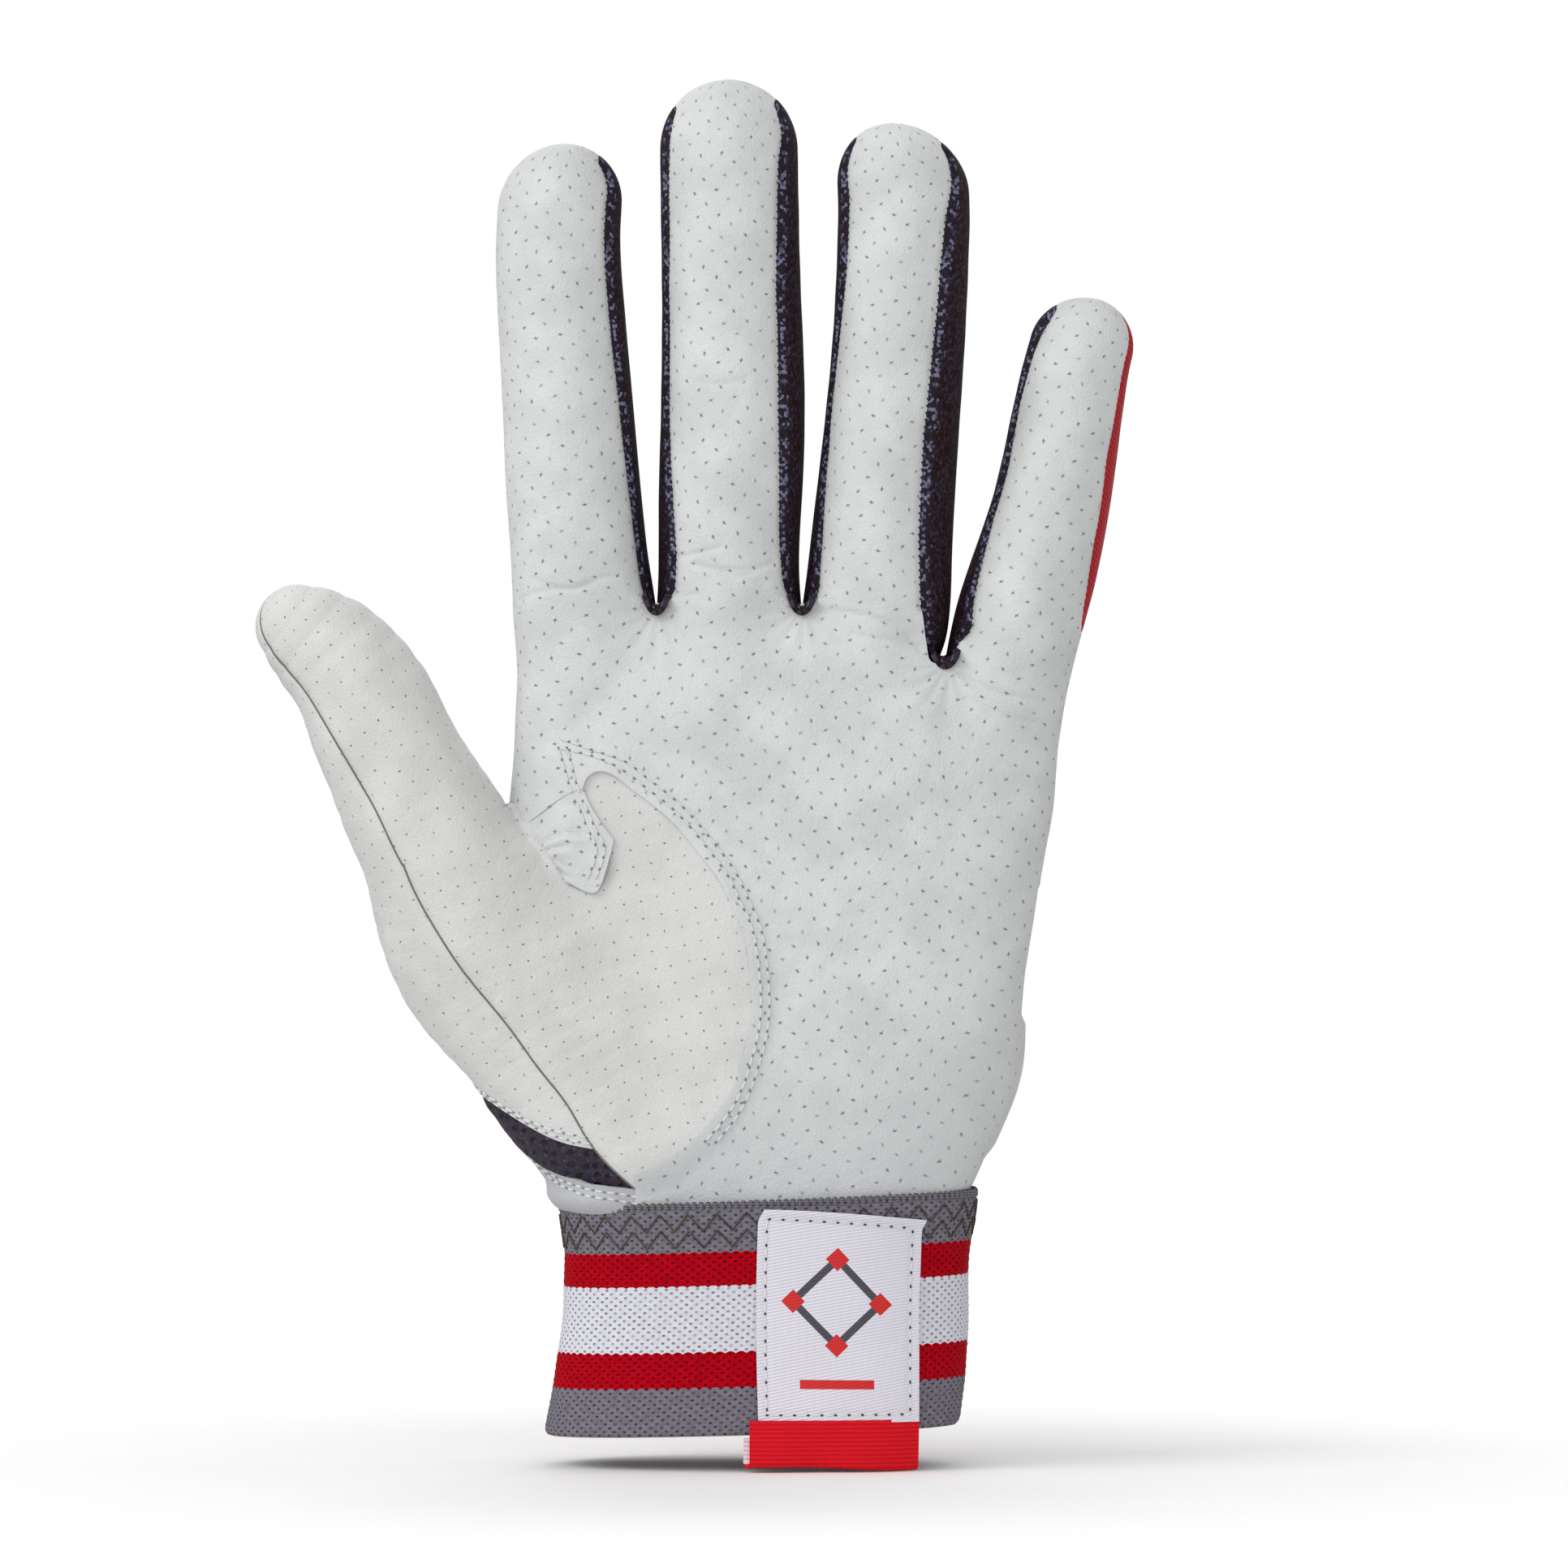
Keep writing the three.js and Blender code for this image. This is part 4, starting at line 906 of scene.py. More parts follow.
def dashes(places, ways, normals, half_length, radius, material):
    """Short rounded threads: six-sided spindles of four rings lying along ways."""
    turns = np.arange(6) * math.pi / 3
    stations = np.array([-1.0, -0.6, 0.6, 1.0])
    sizes = np.array([0.35, 1.0, 1.0, 0.35])
    ways = unit(ways)
    sideways = unit(np.cross(normals, ways))
    up = np.cross(ways, sideways)
    ring = np.cos(turns)[:, None, None] * sideways + np.sin(turns)[:, None, None] * up
    radius = np.broadcast_to(radius, len(places))
    half_length = np.broadcast_to(half_length, len(places))
    points = (
        places + stations[:, None, None, None] * (half_length[:, None] * ways)
        + sizes[:, None, None, None] * radius[:, None] * ring
    )
    points = points.transpose(2, 0, 1, 3)
    directions = np.broadcast_to(ring.transpose(1, 0, 2)[:, None], points.shape)
    body = grid_quads(4, 6, ring=True)
    caps = np.array([[3, 2, 1, 0], [5, 4, 3, 0], [18, 19, 20, 21], [18, 21, 22, 23]])
    single = np.concatenate([body, caps])
    faces = (single + 24 * np.arange(len(places))[:, None, None]).reshape(-1, 4)
    flat_points, flat_normals = points.reshape(-1, 3), directions.reshape(-1, 3)
    return shape(flat_points, faces, flat_normals[faces], np.zeros((len(flat_points), 2)), material)


def tube(path, normals, radius, material, sides=8):
    """Round thread along a path, closed at both ends; normals give the side that faces outwards."""
    ways = unit(np.gradient(path, axis=0))
    sideways = unit(np.cross(normals, ways))
    up = np.cross(ways, sideways)
    turns = np.arange(sides) * 2 * math.pi / sides
    ring = np.cos(turns)[:, None] * sideways[:, None] + np.sin(turns)[:, None] * up[:, None]
    radius = np.broadcast_to(radius, len(path))
    points = (path[:, None] + radius[:, None, None] * ring).reshape(-1, 3)
    body = grid_quads(len(path), sides, ring=True)
    cap = np.array([[0, k + 1, k, k - 1] for k in range(2, sides - 1, 2)])
    faces = np.concatenate([body, cap, cap[:, ::-1] + (len(path) - 1) * sides])
    return shape(points, faces, ring.reshape(-1, 3)[faces], np.zeros((len(points), 2)), material)


def add_piece(name, parts, finishes, slot, node):
    """Makes one mesh object from closed surfaces, with finishes, and hides the CAD node it stands for. The
    slot is not used.
    """
    offsets = np.cumsum([0] + [len(part["points"]) for part in parts[:-1]])
    points = np.concatenate([part["points"] for part in parts]) * MM
    faces = np.concatenate([part["faces"] + offset for part, offset in zip(parts, offsets)])
    normals = np.concatenate([part["normals"] for part in parts])
    uv = np.concatenate([part["uv"] for part in parts])
    numbers = np.concatenate([part["materials"] for part in parts])
    mesh = bpy.data.meshes.new(name)
    mesh.from_pydata(points, [], faces.tolist())
    layer = mesh.uv_layers.new(name="Pattern")
    layer.data.foreach_set("uv", uv[faces].astype(np.float32).ravel())
    mesh.polygons.foreach_set("material_index", numbers.astype(np.int32))
    mesh.polygons.foreach_set("use_smooth", np.ones(len(faces), bool))
    mesh.normals_split_custom_set(normals.reshape(-1, 3).tolist())
    for finish in finishes:
        mesh.materials.append(look(finish))
    made = bpy.data.objects.new(name, mesh)
    bpy.context.scene.collection.objects.link(made)
    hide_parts(node)
    return made


def linear(code):
    """A colour written as a hex code, as linear values with full opacity."""
    parts = np.array([int(code[k:k + 2], 16) / 255 for k in (1, 3, 5)])
    values = np.where(parts <= 0.04045, parts / 12.92, ((parts + 0.055) / 1.055) ** 2.4)
    return (*values.tolist(), 1.0)


# Settings that each node of a kind starts from
NODE_SETTINGS = {"MapRange": {"interpolation_type": "SMOOTHSTEP"}, "Mix": {"data_type": "RGBA"}}


def add_node(tree, kind, inputs=(), result=0, **settings):
    """Adds a shader node and returns one of its outputs, or the node if it has none.

    The kind may end in a colon and an operation. Settings are the node's properties. Inputs are values or the
    outputs of other nodes, in order or by key.
    """
    kind, _, operation = kind.partition(":")
    node = tree.nodes.new("ShaderNode" + kind)
    if operation:
        node.operation = operation
    for key, value in {**NODE_SETTINGS.get(kind, {}), **settings}.items():
        setattr(node, key, value)
    for key, value in inputs.items() if isinstance(inputs, dict) else enumerate(inputs):
        if isinstance(value, bpy.types.NodeSocket):
            tree.links.new(value, node.inputs[key])
        else:
            node.inputs[key].default_value = value
    return node.outputs[result] if node.outputs else node


def start_material(name):
    """A new material with an empty node tree, and the function that adds nodes to that tree."""
    material = bpy.data.materials.new(name)
    material.use_nodes = True
    material.node_tree.nodes.clear()
    return material, partial(add_node, material.node_tree)


def end_material(node, colour, height, relief, finish):
    """Joins a colour and a relief of a depth in millimetres to the shader, and that to the output."""
    normal = node("Bump", {"Strength": 1.0, "Distance": relief * MM, "Height": height})
    shader = {"Base Color": colour, "Normal": normal, "Specular IOR Level": 0.35, **finish}
    node("OutputMaterial", (node("BsdfPrincipled", shader),))


def lumps(place, size, detail=3):
    """Inputs of a noise whose lumps are about the given number of millimetres across."""
    return {"Vector": place, "Scale": 1 / (size * MM), "Detail": detail, "Roughness": 0.55}


def leather(name, colour, shade, slit=None, low=None):
    """Soft matt sheepskin: fine pebble grain, slightly cloudy colour, and rows of small cut air holes.

    A low tone is painted shade: the leather is mixed towards it from the palm's middle down towards the
    wrist.
    """
    material, node = start_material(name)
    place = node("TexCoord", result="Object")
    clouds = node("MapRange", (node("TexNoise", lumps(place, 9)), 0.3, 0.7))
    specks = node("MapRange", (node("TexNoise", lumps(place, 0.9, 2)), 0.62, 0.8, 0, 0.35))
    base = node("Mix", {0: clouds, 6: shade, 7: colour}, 2)
    base = node("Mix", {0: specks, 6: base, 7: shade}, 2)
    pebbles = node("TexVoronoi", {"Vector": place, "Scale": 1 / (0.5 * MM)})
    grain, dents = node("TexNoise", lumps(place, 0.3)), node("TexNoise", lumps(place, 3.5, 4))
    height = node("Math:MULTIPLY_ADD", (pebbles, 0.6, grain))
    height = node("Math:MULTIPLY_ADD", (dents, 1.6, height))
    if low:
        # Painted shade: the leather darkens towards the wrist, from 78 mm down to 40 mm
        wrist_shade_share = node("MapRange", (node("SeparateXYZ", (place,), 2), 78 * MM, 40 * MM, 0, 0.55))
        base = node("Mix", {0: wrist_shade_share, 6: base, 7: low}, 2)
    if slit:
        # Painted shade in the cut air holes: the leather is darkened where the mark is
        mark = slit_mark(node, *slit)
        dark = node("Math:MULTIPLY", (mark, 0.82))
        base = node("Mix", {0: dark, 6: base, 7: linear("#4f5254")}, 2)
        height = node("Math:MULTIPLY_ADD", (mark, -1.6, height))
    end_material(node, base, height, 0.1, {"Roughness": 0.62})
    return material


def slit_mark(node, length, width, faint):
    """1 in the air holes, one per unit square of the map: a core with two fainter arms, where the leather
    gets painted shade and a dip.
    """
    uv = node("TexCoord", result="UV")
    cell = node("VectorMath:FLOOR", (uv,))
    dice = node("TexWhiteNoise", {"Vector": cell}, "Color", noise_dimensions="3D")
    inner = node("VectorMath:FRACTION", (uv,))
    shake = node("VectorMath:SCALE", {0: dice, "Scale": 0.12})
    centred = node("VectorMath:SUBTRACT", (inner, (0.56, 0.56, 0)))
    centred = node("VectorMath:ADD", (centred, shake))
    angle = node("Math:MULTIPLY", (node("SeparateColor", (dice,), 0), math.pi))
    mark = 0.0
    for extra, half_length, half_width, dark in (
        (0.0, length, width, faint), (1.2, length * 0.7, width, faint), (0.3, width * 1.7, width * 1.3, 1.0),
    ):
        turn = node("Math:ADD", (angle, extra))
        turned = node("VectorRotate", {"Vector": centred, "Angle": turn}, rotation_type="Z_AXIS")
        scale = (HOLE_PITCH / half_length, HOLE_PITCH / half_width, 0)
        scaled = node("VectorMath:MULTIPLY", (turned, scale))
        size = node("VectorMath:LENGTH", (scaled,), "Value")
        mark = node("Math:MAXIMUM", (mark, node("MapRange", (size, 0.6, 1.3, dark, 0))))
    strength = node("MapRange", (node("SeparateColor", (dice,), 1), 0, 1, 0.55, 1))
    return node("Math:MULTIPLY", (mark, strength))


def side_knit(name):
    """Dark stretch knit: tiny loops of uneven brightness, and bluish glitter yarn beside the front seam,
    whose sparkle is painted as pale flecks.
    """
    material, node = start_material(name)
    uv = node("TexCoord", result="UV")
    cells = {"Vector": uv, "Scale": 1 / SIDE_KNIT_LOOP, "Randomness": 0.75}
    distance, dice = (node("TexVoronoi", cells, k, voronoi_dimensions="2D") for k in ("Distance", "Color"))
    first, second, third = (node("SeparateColor", (dice,), k) for k in range(3))
    from_seam = node("Math:ADD", (node("SeparateXYZ", (uv,), 0), third))
    near = node("MapRange", (from_seam, 1, 3.2, 1, 0))
    base = node("Mix", {0: second, 6: linear("#1b1014"), 7: linear("#36252b")}, 2)
    tinge = node("Math:MULTIPLY", (near, 0.6))
    base = node("Mix", {0: tinge, 6: base, 7: linear("#2e2836")}, 2)
    # Painted glints: pale flecks of the glitter yarn near the seam; its bluish tinge is its own colour
    bright, shown = node("MapRange", (first, 0.6, 0.95)), node("MapRange", (near, 0, 1, 0.08, 0.75))
    glitter = node("Math:MULTIPLY", (bright, shown))
    base = node("Mix", {0: glitter, 6: base, 7: linear("#9194b8")}, 2)
    height = node("Math:SUBTRACT", (1.0, distance))
    end_material(node, base, height, 0.2, {"Roughness": 0.8, "Specular IOR Level": 0.12})
    return material


def knit(name, colour, dark, pitch):
    """Stretch knit: slanted ribs crossed by finer ones, uneven as knitted yarn is."""
    material, node = start_material(name)
    place, uv = (node("TexCoord", result=key) for key in ("Object", "UV"))
    x, y = (node("SeparateXYZ", (uv,), k) for k in (0, 1))
    slant = node("Math:MULTIPLY_ADD", (x, 0.85, y))
    slant = node("Math:MULTIPLY_ADD", (node("TexNoise", lumps(place, 1.3)), 0.5 * pitch, slant))
    rib = node("Math:MULTIPLY", (slant, 2 * math.pi / pitch))
    rib = node("Math:SINE", (rib,))
    cross = node("Math:MULTIPLY", (x, 2 * math.pi / (0.55 * pitch)))
    cross = node("Math:MULTIPLY", (node("Math:SINE", (cross,)), 0.3))
    weave = node("Math:MULTIPLY_ADD", (rib, 0.7, cross))
    speckle = node("Math:SUBTRACT", (node("TexNoise", lumps(place, 0.5)), 0.5))
    tone = node("MapRange", (node("Math:ADD", (weave, speckle)), -0.8, 0.8))
    base = node("Mix", {0: tone, 6: dark, 7: colour}, 2)
    end_material(node, base, weave, 0.12, {"Roughness": 0.85, "Sheen Weight": 0.1, "Sheen Roughness": 0.5})
    return material


def mesh_cloth(name):
    """Dark spacer mesh: round eyelets in staggered rows, filled with near-black painted shade, and bluish
    yarn between them.
    """
    material, node = start_material(name)
    place, uv = (node("TexCoord", result=key) for key in ("Object", "UV"))
    cells = {"Vector": uv, "Scale": 1 / MESH_PITCH, "Randomness": 0.35}
    ring = node("MapRange", (node("TexVoronoi", cells, voronoi_dimensions="2D"), 0.14, 0.34))
    clouds = node("TexNoise", lumps(place, 2.2))
    patches = node("MapRange", (clouds, 0.35, 0.65))
    yarn = node("Mix", {0: patches, 6: linear("#372a33"), 7: linear("#272538")}, 2)
    # Painted shade: the eyelets are near black
    base = node("Mix", {0: ring, 6: linear("#15131a"), 7: yarn}, 2)
    light = node("MapRange", (node("TexNoise", lumps(place, 0.6)), 0.58, 0.75, 0, 0.55))
    base = node("Mix", {0: light, 6: base, 7: linear("#7d7896")}, 2)
    end_material(node, base, node("Math:ADD", (ring, clouds)), 0.3, {"Roughness": 0.8})
    return material


def webbing(name):
    """Knitted elastic in grey, red and white bands: rounded loops with small holes in staggered rows,
    darkened with painted shade.
    """
    material, node = start_material(name)
    place, uv = (node("TexCoord", result=key) for key in ("Object", "UV"))
    x, y = (node("SeparateXYZ", (uv,), k) for k in (0, 1))
    odd = node("Math:MODULO", (node("Math:FLOOR", (y,)), 2.0))
    staggered = node("Math:MULTIPLY_ADD", (odd, 0.5, x))
    inner = node("VectorMath:FRACTION", (node("CombineXYZ", (staggered, y)),))
    centred = node("VectorMath:SUBTRACT", (inner, (0.5, 0.5, 0)))
    scale = (CUFF_CELL[0] / CUFF_HOLE[0], CUFF_CELL[1] / CUFF_HOLE[1], 0)
    scaled = node("VectorMath:MULTIPLY", (centred, scale))
    size = node("VectorMath:LENGTH", (scaled,), "Value")
    dice = node("TexNoise", lumps(place, 0.8, 2))
    open_ones = node("MapRange", (dice, 0.3, 0.62, 0.35, 1))
    hole = node("Math:MULTIPLY", (node("MapRange", (size, 0.5, 1.35, 1, 0)), open_ones))
    scallop = node("Math:COSINE", (node("Math:MULTIPLY", (x, math.pi)),))
    scallop = node("Math:ABSOLUTE", (scallop,))
    height_up = node("Math:MULTIPLY_ADD", (scallop, -0.55, y))
    mottle = node("MapRange", (dice, 0.3, 0.7))
    colour = node("Mix", {0: mottle, 6: linear("#6c6872"), 7: linear("#7d7983")}, 2)
    # Painted shade in the holes, a tone for each band
    painted_hole_shade = linear("#1c171d")
    for low, high, first, second, dark in CUFF_BANDS:
        above = node("Math:GREATER_THAN", (height_up, low * CUFF_ROWS))
        below = node("Math:LESS_THAN", (height_up, high * CUFF_ROWS))
        inside = node("Math:MULTIPLY", (above, below))
        yarn = node("Mix", {0: mottle, 6: linear(first), 7: linear(second)}, 2)
        colour = node("Mix", {0: inside, 6: colour, 7: yarn}, 2)
        painted_hole_shade = node("Mix", {0: inside, 6: painted_hole_shade, 7: linear(dark)}, 2)
    base = node("Mix", {0: node("Math:MULTIPLY", (hole, 0.85)), 6: colour, 7: painted_hole_shade}, 2)
    height = node("Math:SUBTRACT", (1.0, hole))
    end_material(node, base, height, 0.22, {"Roughness": 0.85, "Specular IOR Level": 0.05})
    return material


def satin(name):
    """Satin-woven label: fine slanted twill, a plain diamond, four small squares and a bar woven into it."""
    material, node = start_material(name)
    uv = node("TexCoord", result="UV")
    x, y = (node("SeparateXYZ", (uv,), k) for k in (0, 1))
    slant = node("Math:MULTIPLY_ADD", (x, -0.22, y))
    weave, threads = (
        node("Math:SINE", (node("Math:MULTIPLY", (value, 2 * math.pi / pitch)),))
        for value, pitch in ((slant, TWILL_PITCH), (x, 0.8 * TWILL_PITCH))
    )
    mottle = node("MapRange", (node("Math:MULTIPLY", (weave, threads)), -0.5, 0.5))
    tone = node("MapRange", (weave, -0.9, 0.9))
    colour = node("Mix", {0: tone, 6: linear("#d8d5e0"), 7: linear("#eae8f1")}, 2)

    def apart(places, centre):
        """Distance of places from a centre on each axis."""
        away = node("VectorMath:SUBTRACT", (places, (*centre, 0)))
        return node("VectorMath:ABSOLUTE", (away,))

    folded = apart(uv, MOTIF_CENTRE)
    rim, side, top = (
        node("VectorMath:DOT_PRODUCT", (apart(folded, centre), (1, 1, 0)), "Value")
        for centre in ((0, 0), (MOTIF_SIZE, 0), (0, MOTIF_SIZE))
    )
    rim = node("Math:ABSOLUTE", (node("Math:SUBTRACT", (rim, MOTIF_SIZE)),))
    corner = node("Math:MINIMUM", (side, top))
    box = node("VectorMath:SUBTRACT", (apart(uv, (MOTIF_CENTRE[0], BAR_HEIGHT)), (*BAR_HALF_SIZE, 0)))
    bar = node("Math:MAXIMUM", tuple(node("SeparateXYZ", (box,), k) for k in (0, 1)))
    for distance, edge, first, second in (
        (rim, 0.85, "#403d43", "#55525a"),
        (corner, 1.9, "#c81a1c", "#dc2c28"),
        (bar, 0.0, "#c81a1c", "#dc2c28"),
    ):
        ink = node("Mix", {0: mottle, 6: linear(first), 7: linear(second)}, 2)
        inside = node("Math:LESS_THAN", (distance, edge))
        colour = node("Mix", {0: inside, 6: colour, 7: ink}, 2)
    end_material(node, colour, weave, 0.05, {"Roughness": 0.5})
    return material


def ribbed(name, first, second, pitch, roughness, slope=0.0):
    """Woven tape or thread: fine ribs across it in two close tones, coarser than real so that they show."""
    material, node = start_material(name)
    place = node("TexCoord", result="Object")
    x, z = (node("SeparateXYZ", (place,), k) for k in (0, 2))
    slant = node("Math:MULTIPLY_ADD", (x, slope, z))
    rib = node("Math:MULTIPLY", (slant, 2 * math.pi / (pitch * MM)))
    rib = node("Math:SINE", (rib,))
    mixed = node("Math:MULTIPLY_ADD", (rib, 0.5, node("TexNoise", lumps(place, 0.5))))
    colour = node("Mix", {0: node("MapRange", (mixed, 0, 1)), 6: linear(first), 7: linear(second)}, 2)
    end_material(node, colour, mixed, 0.05, {"Roughness": roughness, "Specular IOR Level": 0.1})
    return material


WHITE, SHADE = linear("#dcdedd"), linear("#d0d2d2")
WARM, WARM_SHADE = linear("#dddedc"), linear("#d3d4d2")
# Painted shade for the lower palm, mixed into the white leather towards the wrist
PAINTED_WRIST_SHADE = linear("#c1c4c6")
# Every finish by short name: the function that makes it, the material's name and the rest of what it needs
FINISHES = {
    "leather": (leather, "Sheepskin, white, slit-perforated", WHITE, SHADE, (0.42, 0.1, 0.7), PAINTED_WRIST_SHADE),
    "thumb": (leather, "Sheepskin, warm white, perforated", WARM, WARM_SHADE, (0.24, 0.09, 0.5)),
    "plain": (leather, "Sheepskin, white, plain", WHITE, SHADE),
    # The wrist bands' leather is painted darker: shade where they roll inwards
    "band": (leather, "Sheepskin, white, shaded by wear", linear("#bdbfc1"), linear("#b3b5b8")),
    "side": (side_knit, "Side knit, charcoal"),
    "red": (knit, "Back knit, red", linear("#c8101f"), linear("#a00716"), KNIT_PITCH),
    "mesh": (mesh_cloth, "Spacer mesh, dark"),
    "cuff": (webbing, "Elastic webbing, banded"),
    "label": (satin, "Label satin, white"),
    "ribbon": (ribbed, "Woven ribbon, red", "#c40d1e", "#dc1725", 0.7, 0.7),
    "ribbon_inside": (ribbed, "Woven ribbon, pale reverse", "#d9b9bd", "#efe3e8", 0.7, 0.6),
    "thread": (ribbed, "Sewing thread, white", "#d8dadc", "#f2f3f3", 0.3, 0.6, 1.0),
    "dark_thread": (ribbed, "Sewing thread, dark brown", "#2c2427", "#6f6058", 0.5, 0.7, 1.0),
    # Needle holes are small dark discs: painted shade in the holes
    "needle": (ribbed, "Needle hole shade", "#808286", "#96989c", 0.3, 0.9),
    "needle_shade_dark": (ribbed, "Needle hole, dark", "#3a383f", "#55525b", 0.3, 0.9),
    "thumb_thread": (ribbed, "Seam thread, grey-brown", "#6f6866", "#8b8582", 0.5, 0.8, 1.0),
    "seam_thread": (ribbed, "Seam thread, charcoal", "#2a242b", "#4a4650", 0.3, 0.8, 1.0),
    "tape": (ribbed, "Hook and loop nylon, white", "#c9c9cd", "#e2e2e5", 0.6, 0.9, 1.0),
    "selvage": (ribbed, "Elastic selvage, grey", "#5d5961", "#807b84", 0.4, 0.85),
}
MATERIALS = {}


def look(name):
    """A material by its short name, made when it is first asked for."""
    if name not in MATERIALS:
        make, *details = FINISHES[name]
        MATERIALS[name] = make(*details)
    return MATERIALS[name]


def lattice(x, z, turn):
    """Map places in lattice squares, turned by an angle."""
    u = x * math.cos(turn) - z * math.sin(turn)
    v = x * math.sin(turn) + z * math.cos(turn)
    return np.stack([u, v], -1) / HOLE_PITCH


OUTER_SEAM_LINE = eased_line(OUTER_SEAM, 1.5)
FREE_EDGES = np.concatenate([eased_line(edge, 1.0) for edge in (THENAR_EDGE, LOBE_LEFT, TONGUE_EDGE)])
FOLD_LINE = eased_line(THUMB_FOLD, 0.8)


def finger_lift(hit):
    """Unevenness and creases of the leather, which fade out round the sides."""
    x, z = hit[..., 0], hit[..., 2]
    uneven = 0.12 * wave(x, z, 14, 1) + 0.05 * wave(x, z, 5, 2)
    return smooth((4 - hit[..., 1]) / 8) * (uneven - crease_depth(x, z))


def leather_lift(hit):
    """Height of the palm leather off the form: as on the fingers, and raised at its cut edge by the thumb."""
    away, _ = to_line(hit[..., [0, 2]], FREE_EDGES)
    raised = EDGE_LIFT * (1 - smooth(away / EDGE_LIFT_REACH)) * (hit[..., 0] < 12)
    return finger_lift(hit) + smooth((4 - hit[..., 1]) / 8) * raised


def knit_lift(hit):
    """Slight unevenness of the knit."""
    return 0.06 * wave(hit[..., 0] + hit[..., 1], hit[..., 2], 9, 3)


def back_lift(hit):
    """Height of the knit back: a little below the form, and uneven."""
    return -0.3 + 0.1 * wave(hit[..., 0], hit[..., 2], 12, 6)


def notch(left, right, back):
    """Line round the bottom of the gap between two fingers, from seam to seam, as x and z.

    On the back the seams close in on the sides of the fingers on the way down.
    """
    lows, bottom = NOTCHES[left.name]
    rows = []
    for finger, which, steps in ((left, 0, (0.0, *lows)), (right, 1, (0.0, PANEL_LOW))):
        s = np.array(steps)
        angle = (finger.back_seams(s) if back else finger.front_seams(s))[which]
        if back:
            angle = which * math.pi + (angle - which * math.pi) * (1 - s / steps[-1])
        size = 1 / np.hypot(np.cos(angle) / finger.width(s), np.sin(angle) / finger.depth(s))
        across = finger.shift(s) + size * np.cos(angle)
        places = finger.base + s[:, None] * finger.along + across[:, None] * finger.side
        rows.append(places[:, [0, 2]])
    return eased_line(np.concatenate([rows[0], [bottom], rows[1][::-1]]), 0.4)


def hinge_height(finger, x):
    """Height of a finger's hinge line at x."""
    return finger.base[2] - (x - finger.base[0]) * finger.along[0] / finger.along[2]


def knuckle_outline(back):
    """The top edge of the palm or back, from the index side on: hinge lines and the notches between them."""
    fingers = list(HAND.values())
    index, little = fingers[0], fingers[-1]
    wrap = BACK_WRAP if back else SIDE_WRAP
    outer, inner = KNUCKLE_END_INDEX
    low = hinge_height(index, outer)
    start = [(float(index_edge(low, wrap)), low), (inner, hinge_height(index, inner))]
    gaps = [notch(first, second, back) for first, second in zip(fingers[:-1], fingers[1:])]
    inner, outer = KNUCKLE_END_LITTLE
    side = little_edge(KNUCKLE_END_HEIGHT, wrap)
    end = [(inner, hinge_height(little, inner)), (side, hinge_height(little, outer))]
    return even_line(np.concatenate([start, *gaps, end]), 0.4)


def index_edge(z, wrap):
    """q of an edge on the index side that has gone round the side by an angle."""
    return palm_left(z) + SIDE_ROUND - SIDE_ROUND * wrap


def little_edge(z, wrap):
    """q of an edge on the little-finger side that has gone round the side by an angle."""
    return palm_right(z) - SIDE_ROUND + SIDE_ROUND * wrap


def side_edge(high, low, wrap):
    """Edge on the little-finger side, from a height down to another."""
    z = np.linspace(high, low, int(abs(low - high) / 2) + 2)
    return np.stack([little_edge(z, wrap), z], -1)


def palm_outline():
    """Closed cut line of the palm leather on the unrolled form."""
    top = knuckle_outline(False)
    rise = np.array(PALM_SIDE_HEIGHTS)
    index_side = [*PALM_CROTCH, *zip(index_edge(rise, SIDE_WRAP), rise)]
    return np.concatenate([
        [PALM_HEM], eased_line(THENAR_EDGE, 0.4), eased_line(TONGUE_TOP[::-1], 0.4),
        eased_line(index_side, 0.8), top, side_edge(top[-1, 1], PALM_HEM[1], SIDE_WRAP), [PALM_HEM],
    ])


def skin_panel(outline, step, facing, field, lift, thickness, turn, depth_start=0):
    """Panel cut from a form inside an outline."""
    places, quads = cut_grid(outline, step)

    def surface(u, v):
        return skin(u, v, facing, field, lift, depth_start)

    q, z = places.T
    points = surface(q, z)
    normals = normals_of(surface, q, z)
    if facing > 0:
        normals = -normals
        quads = quads[:, ::-1]
    return thicken(points, normals, quads, thickness, lattice(q, z, turn))


def on_skin(field, lift, depth_start=0):
    """Function that gives places and outward directions on a palm-side panel along a line of front places."""

    def surface(u, v):
        return skin(u, v, -1, field, lift, depth_start)

    def along(line, over=0):
        q, z = np.array(line, float).T
        normals = normals_of(surface, q, z)
        return surface(q, z) + over * normals, normals

    return along


def stitch_path(path, normals, pitch, over, share=0.36):
    """Thread dashes (material 1) along a path, one per pitch, and dark discs of painted shade in the needle
    holes (material 2) between them.
    """
    along = lengths_along(path)
    places = np.arange(0, along[-1], pitch / 2)
    at, up = along_line(places, along, path), unit(along_line(places, along, normals))
    ways = np.gradient(at, axis=0)
    threads = dashes(at[1::2] + over * up[1::2], ways[1::2], up[1::2], pitch * share, THREAD_RADIUS, 1)
    return [threads, dashes(at[::2], ways[::2], up[::2], *NEEDLE_HOLE, 2)]


def stitch_row(line, surface_at, pitch):
    """Stitches along a line of front places on a surface."""
    return stitch_path(*surface_at(even_line(line, pitch / 8)), pitch, STITCH_LIFT)


def finger_rows(finger, end):
    """Places along a finger for its grids, close enough for the seam's scallops, closer at the tip."""
    centre = finger.length - finger.tip
    straight = np.arange(PANEL_LOW, centre, SEAM_PITCH / 3)
    turn = np.linspace(0, 1, 26) * math.asin(min((end - centre) / finger.tip, 0.9998))
    return np.concatenate([straight, centre + finger.tip * np.sin(turn)])


